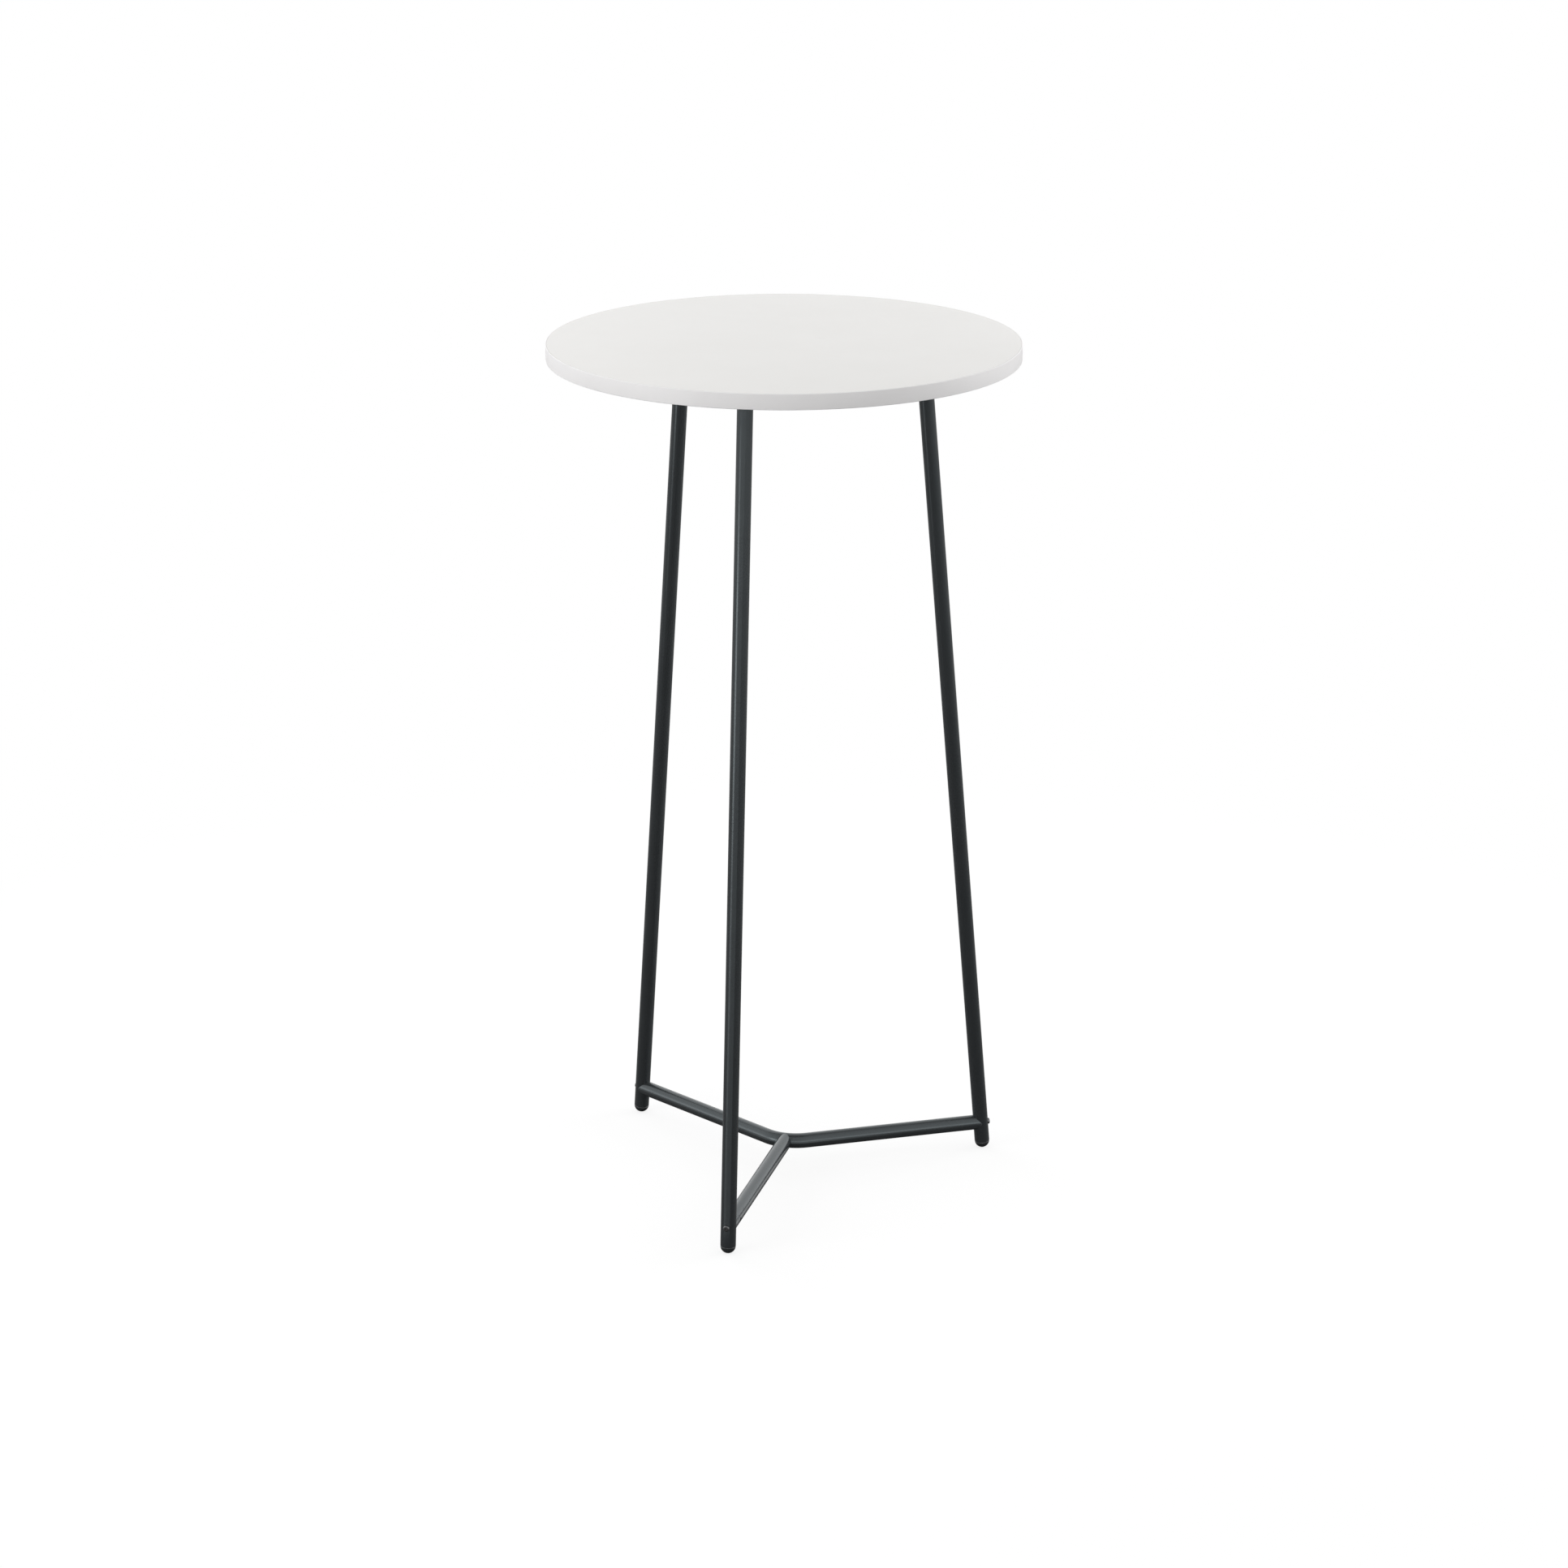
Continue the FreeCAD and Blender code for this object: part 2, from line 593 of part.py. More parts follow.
pieces = [
    make_tabletop_core(),
    make_laminate("tabletop_laminate", "sizes.table_height - sizes.laminate_thickness", False),
    make_laminate("tabletop_backing_laminate", top_underside, True),
    make_edge_band(),
    make_plate_screws(),
    make_tabletop_inserts(),
    make_bent_stretcher(),
    make_straight_stretcher(),
    make_stretcher_bolts(),
]
for arm_name, arm_azimuth in arm_azimuths.items():
    pieces.append(make_leg_tube(arm_name, arm_azimuth))
    pieces.append(make_leg_plate(arm_name, arm_azimuth))
    pieces.append(make_leg_weld(arm_name, arm_azimuth))
    pieces.append(make_foot(arm_name, arm_azimuth))
    pieces.append(make_stretcher_plug(arm_name, arm_azimuth))
doc.recompute()

failed = [item.Name for item in doc.Objects if "Invalid" in item.State or "Error" in item.State]
if failed:
    raise RuntimeError("objects that did not build: " + ", ".join(failed))
for piece in pieces:
    if piece.Shape.isNull() or not piece.Shape.isValid():
        raise RuntimeError(piece.Label + " has no valid shape")

os.makedirs("parts", exist_ok=True)
for piece in pieces:
    piece.Shape.exportStep(f"parts/{piece.Label}.step")
    print(piece.Label, len(piece.Shape.Solids), "solids", round(piece.Shape.Volume, 1), "mm3")
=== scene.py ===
import math

import bmesh
import bpy
from mathutils import Matrix, Vector, noise


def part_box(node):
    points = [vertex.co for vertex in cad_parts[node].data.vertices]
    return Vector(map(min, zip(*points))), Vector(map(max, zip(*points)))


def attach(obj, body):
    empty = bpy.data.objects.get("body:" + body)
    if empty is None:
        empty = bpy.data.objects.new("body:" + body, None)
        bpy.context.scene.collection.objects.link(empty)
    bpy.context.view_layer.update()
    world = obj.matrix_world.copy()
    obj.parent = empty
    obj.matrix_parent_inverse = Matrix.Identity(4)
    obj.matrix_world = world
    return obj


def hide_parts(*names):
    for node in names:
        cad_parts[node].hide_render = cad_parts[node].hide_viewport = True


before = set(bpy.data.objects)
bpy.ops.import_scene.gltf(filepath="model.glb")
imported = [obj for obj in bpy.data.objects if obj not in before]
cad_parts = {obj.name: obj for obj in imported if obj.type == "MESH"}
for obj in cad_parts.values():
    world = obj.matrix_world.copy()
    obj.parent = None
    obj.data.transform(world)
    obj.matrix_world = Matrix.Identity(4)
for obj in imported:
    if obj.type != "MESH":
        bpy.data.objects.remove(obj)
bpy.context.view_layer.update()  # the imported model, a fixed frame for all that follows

print("frame loaded:", len(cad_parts), "nodes")

# Sizes that several pieces share, in metres and degrees
table = {
    "legLean": 5,
    "footReach": 0.279,  # table's axis to the middle of each dome foot
    "tubeRadius": 0.010,
    "legWall": 0.002,
    "stretcherWall": 0.0015,
    "stretcherOffset": 0.027,  # up the leg's axis from the middle of its dome
    "bendRadius": 0.055,
    "bendTurn": 60,
    "screwReach": 0.029,  # plate's middle to each screw
    "fitGap": 0.00005,
    "tubeSides": 96,
    "smoothAngle": 32,
    "mergeReach": 1e-6,  # closer points than this are one
    "seedSize": 0.001,  # plane that shrinks to an outline's first point
}
armTurns = {"Front": 0, "Right": 120, "Left": 240}
screwTurns = (45, 135, 225, 315)

# Places worked out from those sizes and from the frame
lean = math.radians(table["legLean"])
tubeRadius = table["tubeRadius"]
fitGap = table["fitGap"]
mergeReach = table["mergeReach"]
bandLow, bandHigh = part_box("tabletop_edge_band")
laminateLow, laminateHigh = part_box("tabletop_laminate")
plateLow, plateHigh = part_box("front_leg_plate")
plateUnderside = plateLow.z
legLength = (plateUnderside - tubeRadius) / math.cos(lean)
plateReach = table["footReach"] - legLength * math.sin(lean)
stretcherHeight = tubeRadius + table["stretcherOffset"] * math.cos(lean)
stretcherReach = table["footReach"] - table["stretcherOffset"] * math.sin(lean)
armHalfTurn = math.radians(table["bendTurn"] / 2)
bendApex = table["bendRadius"] * (1 / math.cos(armHalfTurn) - 1)
bendTangent = table["bendRadius"] * math.tan(armHalfTurn)
legFoot = Matrix.Translation((0, -table["footReach"], tubeRadius))
legFrame = legFoot @ Matrix.Rotation(-lean, 4, "X")
levelNormal = legFrame.to_3x3().inverted() @ Vector((0, 0, 1))


# Selects one piece alone, for the operators that follow
def holdPiece(piece):
    bpy.ops.object.select_all(action="DESELECT")
    piece.select_set(True)
    bpy.context.view_layer.objects.active = piece


# Opens a piece for shaping, with all of it selected
def openPiece(piece):
    holdPiece(piece)
    bpy.ops.object.mode_set(mode="EDIT")
    bpy.ops.mesh.select_mode(type="VERT")
    bpy.ops.mesh.select_all(action="SELECT")


def closePiece():
    bpy.ops.object.mode_set(mode="OBJECT")


# Selects what passes a test: vertices, edges or faces of the open piece
def pick(kind, test):
    bpy.ops.mesh.select_all(action="DESELECT")
    bpy.ops.mesh.select_mode(type=kind)
    data = bpy.context.edit_object.data
    mesh = bmesh.from_edit_mesh(data)
    parts = {"VERT": mesh.verts, "EDGE": mesh.edges, "FACE": mesh.faces}[kind]
    for part in parts:
        if test(part):
            part.select_set(True)
    mesh.select_flush_mode()
    bmesh.update_edit_mesh(data)


# Moves each vertex of the open piece to where a rule puts it
def reshape(rule):
    data = bpy.context.edit_object.data
    mesh = bmesh.from_edit_mesh(data)
    for vert in mesh.verts:
        vert.co = rule(vert.co)
    bmesh.update_edit_mesh(data)


def radiusOf(place):
    return math.hypot(place.x, place.y)


# Names a fresh primitive and puts its place into its mesh
def startPiece(name):
    piece = bpy.context.object
    piece.name = name
    piece.data.name = name
    bpy.ops.object.transform_apply(location=True, rotation=True, scale=True)
    return piece


def placePiece(piece, place):
    holdPiece(piece)
    piece.matrix_world = place @ piece.matrix_world
    bpy.ops.object.transform_apply(location=True, rotation=True, scale=True)


def applyModifier(piece, kind, **settings):
    holdPiece(piece)
    modifier = piece.modifiers.new(kind.lower(), kind)
    for setting, value in settings.items():
        setattr(modifier, setting, value)
    bpy.ops.object.modifier_apply(modifier=modifier.name)


# Cuts one solid out of another and throws the cutter away
def cutWith(piece, cutter):
    applyModifier(piece, "BOOLEAN", operation="DIFFERENCE", solver="EXACT", object=cutter)
    bpy.data.objects.remove(cutter, do_unlink=True)


def arcPoints(centre, radius, start, end, steps):
    turns = [math.radians(start + (end - start) * step / steps) for step in range(steps + 1)]
    return [(centre[0] + radius * math.cos(turn), centre[1] + radius * math.sin(turn)) for turn in turns]


# Draws an outline in the XZ plane by extruding a point from one place to the next
def drawOutline(name, points):
    bpy.ops.mesh.primitive_plane_add(size=table["seedSize"], location=(points[0][0], 0, points[0][1]))
    piece = startPiece(name)
    openPiece(piece)
    bpy.ops.mesh.merge(type="CENTER")
    for start, end in zip(points, points[1:]):
        step = (end[0] - start[0], 0, end[1] - start[1])
        bpy.ops.mesh.extrude_vertices_move(TRANSFORM_OT_translate={"value": step})
    closePiece()
    return piece


# Turns an outline about the Z axis into a closed solid
def turnOutline(name, points, steps):
    piece = drawOutline(name, points)
    openPiece(piece)
    bpy.ops.mesh.spin(steps=steps, angle=math.tau, center=(0, 0, 0), axis=(0, 0, 1))
    tidySolid()
    closePiece()
    return piece


def tidySolid():
    bpy.ops.mesh.select_all(action="SELECT")
    bpy.ops.mesh.remove_doubles(threshold=mergeReach)
    bpy.ops.mesh.normals_make_consistent(inside=False)


def copyPiece(piece, name, place):
    twin = piece.copy()
    twin.data = piece.data.copy()
    twin.name = name
    twin.data.name = name
    bpy.context.scene.collection.objects.link(twin)
    placePiece(twin, place)
    return twin


def aroundTable(turn):
    return Matrix.Rotation(math.radians(turn), 4, "Z")


# Last steps of every piece: finish, body, slot and the solid that it stands for
def finishPiece(piece, slotName, node):
    holdPiece(piece)
    bpy.ops.object.shade_smooth_by_angle(angle=math.radians(table["smoothAngle"]))
    piece.data.materials.clear()
    piece.data.materials.append(finishes[slotName])
    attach(piece, "root")
    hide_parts(node)


# Puts copies of a front piece on all three legs. In the solid's name {} stands for the leg.
def finishOnArms(piece, slotName, node):
    for armName, turn in armTurns.items():
        twin = copyPiece(piece, piece.name + armName, aroundTable(turn))
        finishPiece(twin, slotName, node.format(armName.lower()))
    bpy.data.objects.remove(piece, do_unlink=True)


# Sets a node's inputs: a socket is linked, anything else is its value
def setInputs(tree, node, inputs):
    for socket, value in inputs.items():
        if isinstance(value, bpy.types.NodeSocket):
            tree.links.new(value, node.inputs[socket])
        else:
            node.inputs[socket].default_value = value


def addNode(tree, kind, inputs=None, **settings):
    node = tree.nodes.new("ShaderNode" + kind)
    for setting, value in settings.items():
        setattr(node, setting, value)
    setInputs(tree, node, inputs or {})
    return node


def addMath(tree, operation, first, second=0.0, clamp=False):
    return addNode(tree, "Math", {0: first, 1: second}, operation=operation, use_clamp=clamp).outputs[0]


# A number from two vectors, or from one
def addMeasure(tree, operation, first, second=(0, 0, 0)):
    return addNode(tree, "VectorMath", {0: first, 1: second}, operation=operation).outputs["Value"]


def addRange(tree, value, fromLow, fromHigh, toLow, toHigh):
    inputs = {"Value": value, "From Min": fromLow, "From Max": fromHigh, "To Min": toLow, "To Max": toHigh}
    return addNode(tree, "MapRange", inputs).outputs["Result"]


def addMix(tree, share, first, second):
    inputs = {"Factor": share, "A": first, "B": second}
    return addNode(tree, "Mix", inputs, data_type="RGBA").outputs["Result"]


def addNoise(tree, vector, scale, detail=3.0, roughness=0.5):
    inputs = {"Vector": vector, "Scale": scale, "Detail": detail, "Roughness": roughness}
    return addNode(tree, "TexNoise", inputs).outputs["Fac"]


def addGroup(tree, group, **inputs):
    return addNode(tree, "Group", inputs, node_tree=group).outputs[0]


# Makes a shared effect: a node group whose one output a function works out from its inputs
def makeGroup(name, output, effect, **inputs):
    group = bpy.data.node_groups.new(name, "ShaderNodeTree")
    group.interface.new_socket("Vector", in_out="INPUT", socket_type="NodeSocketVector")
    for socketName, value in inputs.items():
        socket = group.interface.new_socket(socketName, in_out="INPUT", socket_type="NodeSocketFloat")
        socket.default_value = value
    group.interface.new_socket(output, in_out="OUTPUT", socket_type="NodeSocketFloat")
    result = effect(group, group.nodes.new("NodeGroupInput").outputs)
    group.links.new(result, group.nodes.new("NodeGroupOutput").inputs[0])
    return group


# Slow drift of tone over a surface, between two values
cloud = {"detail": 4.0, "roughness": 0.6, "reach": (0.3, 0.7)}


def cloudTone(group, given):
    drift = addNoise(group, given["Vector"], given["Scale"], cloud["detail"], cloud["roughness"])
    return addRange(group, drift, *cloud["reach"], given["Low"], given["High"])


# Height of the soft dimples that sprayed powder leaves as it melts
dimple = {"detail": 1.5, "roughness": 0.4, "gritScale": 4.0, "gritDetail": 2.0}


def dimpleHeight(group, given):
    soft = addNoise(group, given["Vector"], given["Dimples"], dimple["detail"], dimple["roughness"])
    scale = addMath(group, "MULTIPLY", given["Dimples"], dimple["gritScale"])
    fine = addNoise(group, given["Vector"], scale, dimple["gritDetail"])
    return addMath(group, "ADD", soft, addMath(group, "MULTIPLY", fine, given["Grit"]))


# Hairline scratches lying in three directions, in patches
hairline = {
    "layers": ((0.5, (1, 34, 1)), (2.1, (40, 1, 1)), (1.2, (1, 1, 30))),  # turn and stretch
    "detail": 3.0,
    "roughness": 0.7,
    "reach": (0.66, 0.72),
    "patchScale": 9.0,
    "patchDetail": 2.0,
    "patchReach": (0.45, 0.65),
}


def hairlineMask(group, given):
    layers = []
    for turn, stretch in hairline["layers"]:
        turned = {"Vector": given["Vector"], "Rotation": (turn, turn, turn), "Scale": stretch}
        mapping = addNode(group, "Mapping", turned)
        lines = addNoise(group, mapping.outputs[0], given["Scale"], hairline["detail"], hairline["roughness"])
        layers.append(addRange(group, lines, *hairline["reach"], 0.0, 1.0))
    scratches = addMath(group, "MAXIMUM", addMath(group, "MAXIMUM", layers[0], layers[1]), layers[2])
    patches = addNoise(group, given["Vector"], hairline["patchScale"], hairline["patchDetail"])
    patches = addRange(group, patches, *hairline["patchReach"], 0.0, 1.0)
    scratches = addMath(group, "MULTIPLY", scratches, patches)
    return addMath(group, "MULTIPLY", scratches, given["Amount"], clamp=True)


# Where handling rubs the finish off: along edges, broken up by noise. The same mask also lays the painted
# highlights on the screws and feet.
wearAndHighlightEdge = {
    "samples": 4,
    "cornerReach": (0.97, 0.80),  # cosine between the rounded normal and the true one
    "breakScale": 350.0,
    "breakDetail": 4.0,
    "breakRoughness": 0.7,
    "breakReach": (0.42, 0.62),
}


def wornEdgeMask(group, given):
    rounded = addNode(group, "Bevel", {"Radius": given["Radius"]}, samples=wearAndHighlightEdge["samples"]).outputs[0]
    plain = addNode(group, "NewGeometry").outputs["Normal"]
    facing = addMeasure(group, "DOT_PRODUCT", rounded, plain)
    edge = addRange(group, facing, *wearAndHighlightEdge["cornerReach"], 0.0, 1.0)
    broken = addNoise(
        group, given["Vector"], wearAndHighlightEdge["breakScale"], wearAndHighlightEdge["breakDetail"], wearAndHighlightEdge["breakRoughness"])
    broken = addRange(group, broken, *wearAndHighlightEdge["breakReach"], 0.0, 1.0)
    broken = addMath(group, "MAXIMUM", broken, given["Even"])
    worn = addMath(group, "MULTIPLY", edge, broken)
    return addMath(group, "MULTIPLY", worn, given["Amount"], clamp=True)


# A breath of dust on what faces up
dustFall = {
    "upward": (0.55, 1.0),
    "scale": 260.0,
    "detail": 6.0,
    "roughness": 0.75,
    "reach": (0.40, 0.70),
    "least": 0.2,
}


def dustMask(group, given):
    normal = addNode(group, "NewGeometry").outputs["Normal"]
    height = addNode(group, "SeparateXYZ", {"Vector": normal}).outputs["Z"]
    upward = addRange(group, height, *dustFall["upward"], 0.0, 1.0)
    specks = addNoise(group, given["Vector"], dustFall["scale"], dustFall["detail"], dustFall["roughness"])
    specks = addRange(group, specks, *dustFall["reach"], dustFall["least"], 1.0)
    film = addMath(group, "MULTIPLY", upward, specks)
    return addMath(group, "MULTIPLY", film, given["Amount"], clamp=True)


# Shoe scuffs on the lowest stretch of the frame
scuffRub = {"stretch": (1, 1, 7), "scale": 60.0, "detail": 6.0, "roughness": 0.75, "reach": (0.58, 0.74)}


def scuffMask(group, given):
    place = addNode(group, "SeparateXYZ", {"Vector": given["Vector"]}).outputs["Z"]
    low = addMath(group, "SUBTRACT", 1.0, addMath(group, "DIVIDE", place, given["Height"]), clamp=True)
    mapping = addNode(group, "Mapping", {"Vector": given["Vector"], "Scale": scuffRub["stretch"]})
    rubs = addNoise(group, mapping.outputs[0], scuffRub["scale"], scuffRub["detail"], scuffRub["roughness"])
    rubs = addMath(group, "MULTIPLY", low, addRange(group, rubs, *scuffRub["reach"], 0.0, 1.0))
    return addMath(group, "MULTIPLY", rubs, given["Amount"], clamp=True)


mottle = makeGroup("mottle", "Tone", cloudTone, Scale=20.0, Low=0.0, High=1.0)
orangePeel = makeGroup("orangePeel", "Height", dimpleHeight, Dimples=700.0, Grit=0.25)
hairlines = makeGroup("hairlines", "Mask", hairlineMask, Scale=12.0, Amount=0.3)
edgeWearAndHighlight = makeGroup("edgeWearAndHighlight", "Mask", wornEdgeMask, Radius=0.0006, Amount=0.6, Even=0.0)
dust = makeGroup("dust", "Mask", dustMask, Amount=0.15)
scuffs = makeGroup("scuffs", "Mask", scuffMask, Height=0.12, Amount=0.5)


# Starts a material: its tree and the place on the piece
def newMaterial(name, **constants):
    material = bpy.data.materials.new(name)
    material.use_nodes = True
    tree = material.node_tree
    for socket, value in constants.items():
        tree.nodes["Principled BSDF"].inputs[socket.replace("_", " ")].default_value = value
    return material, tree, tree.nodes.new("ShaderNodeTexCoord").outputs["Object"]


def addTone(tree, place, values, second):
    tone = addGroup(tree, mottle, Vector=place, Scale=values["toneScale"])
    return addMix(tree, tone, values["colour"], values[second])


# Roughness that drifts between two values
def addGloss(tree, place, values):
    low, high = values["roughness"]
    return addGroup(tree, mottle, Vector=place, Scale=values["glossScale"], Low=low, High=high)


def addGrain(tree, place, values):
    return addGroup(tree, orangePeel, Vector=place, Dimples=values["dimples"], Grit=values["grit"])


def addWear(tree, place, values):
    radius, amount, even = values["edgeWearAndHighlight"]
    return addGroup(tree, edgeWearAndHighlight, Vector=place, Radius=radius, Amount=amount, Even=even)


def addScuffs(tree, place, values):
    height, amount = values["scuffs"]
    return addGroup(tree, scuffs, Vector=place, Height=height, Amount=amount)


# Last step of a material: its colour, roughness and bump reach the shader
def setSurface(material, colour, gloss, height, values):
    tree = material.node_tree
    strength, distance = values["bump"]
    bump = addNode(tree, "Bump", {"Strength": strength, "Distance": distance, "Height": height}).outputs[0]
    setInputs(tree, tree.nodes["Principled BSDF"], {"Base Color": colour, "Roughness": gloss, "Normal": bump})
    return material


# Powder coat on the legs, plates, welds and stretcher
coatedSteel = {
    "colour": (0.0232, 0.0248, 0.0262, 1),
    "deepColour": (0.0198, 0.0212, 0.0226, 1),
    "rubbedColour": (0.080, 0.086, 0.090, 1),
    "dustColour": (0.17, 0.175, 0.175, 1),
    "toneScale": 14.0,
    "edgeWearAndHighlight": (0.0005, 0.5, 0.0),  # radius, amount and how even
    "scuffs": (0.09, 0.35),  # height and amount
    "dust": 0.05,
    "roughness": (0.14, 0.22),
    "glossScale": 35.0,
    "wornRoughness": 0.25,
    "dimples": 620.0,
    "grit": 0.3,
    "bump": (0.40, 0.00010),  # strength and distance
    "ior": 1.80,
    "specularTint": (0.84, 0.955, 1.0, 1),
}


def makeCoatedSteel():
    values = coatedSteel
    material, tree, place = newMaterial(
        "coatedSteel", IOR=values["ior"], Specular_Tint=values["specularTint"])
    colour = addTone(tree, place, values, "deepColour")
    worn = addMath(tree, "MAXIMUM", addWear(tree, place, values), addScuffs(tree, place, values))
    colour = addMix(tree, worn, colour, values["rubbedColour"])
    film = addGroup(tree, dust, Vector=place, Amount=values["dust"])
    colour = addMix(tree, film, colour, values["dustColour"])
    rough = addMath(tree, "MULTIPLY", worn, values["wornRoughness"])
    gloss = addMath(tree, "ADD", addGloss(tree, place, values), rough)
    gloss = addMath(tree, "ADD", gloss, film, clamp=True)
    return setSurface(material, colour, gloss, addGrain(tree, place, values), values)


# Melamine top: almost plain white, with a fine pearl grain
whiteLaminate = {
    "colour": (0.800, 0.793, 0.779, 1),
    "warmColour": (0.787, 0.780, 0.764, 1),
    "scratchColour": (0.73, 0.725, 0.715, 1),
    "jointColour": (0.40, 0.38, 0.35, 1),
    "jointReach": (0.29835, 0.29860),  # glue line against the edge band
    "jointShare": 0.8,
    "toneScale": 7.0,
    "scratchScale": 10.0,
    "scratchAmount": 0.22,
    "scratchRoughness": 0.3,
    "roughness": (0.48, 0.56),
    "glossScale": 26.0,
    "dimples": 1100.0,
    "grit": 0.5,
    "bump": (0.35, 0.00004),
    "specular": 0.10,
}


def makeWhiteLaminate():
    values = whiteLaminate
    material, tree, place = newMaterial("whiteLaminate", Specular_IOR_Level=values["specular"])
    colour = addTone(tree, place, values, "warmColour")
    scratched = addGroup(
        tree, hairlines, Vector=place, Scale=values["scratchScale"], Amount=values["scratchAmount"])
    colour = addMix(tree, scratched, colour, values["scratchColour"])
    flat = addNode(tree, "VectorMath", {0: place, 1: (1, 1, 0)}, operation="MULTIPLY").outputs["Vector"]
    reach = addMeasure(tree, "LENGTH", flat)
    joint = addRange(tree, reach, *values["jointReach"], 0.0, values["jointShare"])
    colour = addMix(tree, joint, colour, values["jointColour"])
    rough = addMath(tree, "MULTIPLY", scratched, values["scratchRoughness"])
    gloss = addMath(tree, "ADD", addGloss(tree, place, values), rough, clamp=True)
    height = addMath(tree, "SUBTRACT", addGrain(tree, place, values), scratched)
    return setSurface(material, colour, gloss, height, values)


# Plastic edge band: fine upright scraper marks follow it round the rim
whiteEdging = {
    "colour": (0.800, 0.791, 0.790, 1),
    "dullColour": (0.772, 0.762, 0.762, 1),
    "grimeColour": (0.60, 0.59, 0.585, 1),
    "toneScale": 12.0,
    "edgeWearAndHighlight": (0.0004, 0.25, 0.0),
    "roughness": (0.36, 0.46),
    "glossScale": 40.0,
    "bandRadius": 0.3,
    "markScale": 1300.0,
    "markDetail": 3.0,
    "markRoughness": 0.6,
    "markStretch": 0.04,  # share of the height that moves the pattern on
    "dimples": 900.0,
    "grit": 0.3,
    "grain": 0.5,
    "bump": (0.3, 0.00003),
    "specular": 0.4,
}


def makeWhiteEdging():
    values = whiteEdging
    material, tree, place = newMaterial("whiteEdging", Specular_IOR_Level=values["specular"])
    colour = addTone(tree, place, values, "dullColour")
    colour = addMix(tree, addWear(tree, place, values), colour, values["grimeColour"])
    across = addNode(tree, "SeparateXYZ", {"Vector": place}).outputs
    turn = addMath(tree, "ARCTAN2", across["Y"], across["X"])
    along = addMath(tree, "MULTIPLY", turn, values["bandRadius"])
    upward = addMath(tree, "MULTIPLY", across["Z"], values["markStretch"])
    strip = addNode(tree, "CombineXYZ", {"X": along, "Y": upward}).outputs[0]
    marks = addNoise(tree, strip, values["markScale"], values["markDetail"], values["markRoughness"])
    grain = addMath(tree, "MULTIPLY", addGrain(tree, place, values), values["grain"])
    height = addMath(tree, "ADD", marks, grain)
    return setSurface(material, colour, addGloss(tree, place, values), height, values)


# Matt balancing sheet under the top
backingLaminate = {
    "colour": (0.74, 0.735, 0.72, 1),
    "fleckColour": (0.68, 0.67, 0.65, 1),
    "toneScale": 11.0,
    "toneShare": 0.4,
    "fleckScale": 420.0,
    "fleckDetail": 5.0,
    "fleckRoughness": 0.7,
    "fleckReach": (0.50, 0.70),
    "fleckShare": 0.6,
    "roughness": (0.55, 0.68),
    "glossScale": 60.0,
    "dimples": 800.0,
    "grit": 0.8,
    "bump": (0.4, 0.00005),
    "specular": 0.3,
}


def makeBackingLaminate():
    values = backingLaminate
    material, tree, place = newMaterial("backingLaminate", Specular_IOR_Level=values["specular"])
    tone = addGroup(tree, mottle, Vector=place, Scale=values["toneScale"])
    flecks = addNoise(tree, place, values["fleckScale"], values["fleckDetail"], values["fleckRoughness"])
    flecks = addRange(tree, flecks, *values["fleckReach"], 0.0, 1.0)
    tone = addMath(tree, "MULTIPLY", tone, values["toneShare"])
    flecks = addMath(tree, "MULTIPLY", flecks, values["fleckShare"])
    share = addMath(tree, "MAXIMUM", tone, flecks)
    colour = addMix(tree, share, values["colour"], values["fleckColour"])
    return setSurface(material, colour, addGloss(tree, place, values), addGrain(tree, place, values), values)


# Particleboard inside the top, with its chips and glue
board = {
    "chipColour": (0.42, 0.27, 0.14, 1),
    "paleColour": (0.58, 0.42, 0.25, 1),
    "glueColour": (0.20, 0.12, 0.06, 1),
    "chipScale": 340.0,
    "glueReach": (0.55, 0.85),
    "glueShare": 0.8,
    "roughness": (0.7, 0.9),
    "glossScale": 80.0,
    "bump": (0.5, 0.0004),
    "specular": 0.2,
}


def makeBoard():
    values = board
    material, tree, place = newMaterial("board", Specular_IOR_Level=values["specular"])
    chips = addNode(tree, "TexVoronoi", {"Vector": place, "Scale": values["chipScale"]}).outputs
    tint = addNode(tree, "SeparateColor", {"Color": chips["Color"]}).outputs["Red"]
    colour = addMix(tree, tint, values["chipColour"], values["paleColour"])
    glue = addRange(tree, chips["Distance"], *values["glueReach"], 0.0, values["glueShare"])
    colour = addMix(tree, glue, colour, values["glueColour"])
    return setSurface(material, colour, addGloss(tree, place, values), chips["Distance"], values)


# Bright zinc on the hidden plugs and inserts
zincSteel = {
    "colour": (0.60, 0.61, 0.60, 1),
    "stainColour": (0.52, 0.50, 0.42, 1),
    "toneScale": 160.0,
    "roughness": (0.24, 0.42),
    "glossScale": 420.0,
    "dimples": 2600.0,
    "grit": 0.6,
    "bump": (0.3, 0.00003),
}


def makeZincSteel():
    values = zincSteel
    material, tree, place = newMaterial("zincSteel", Metallic=1.0)
    colour = addTone(tree, place, values, "stainColour")
    return setSurface(material, colour, addGloss(tree, place, values), addGrain(tree, place, values), values)


# Blackened screws and bolts, rubbed bright where the key turns, with painted highlights along their edges
blackScrews = {
    "colour": (0.200, 0.206, 0.214, 1),
    "brownColour": (0.170, 0.164, 0.160, 1),
    "brightColour": (0.50, 0.50, 0.50, 1),
    "toneScale": 240.0,
    "edgeWearAndHighlight": (0.00025, 0.55, 0.15),
    "roughness": (0.22, 0.36),
    "glossScale": 500.0,
    "dimples": 3000.0,
    "grit": 0.5,
    "bump": (0.2, 0.00002),
}


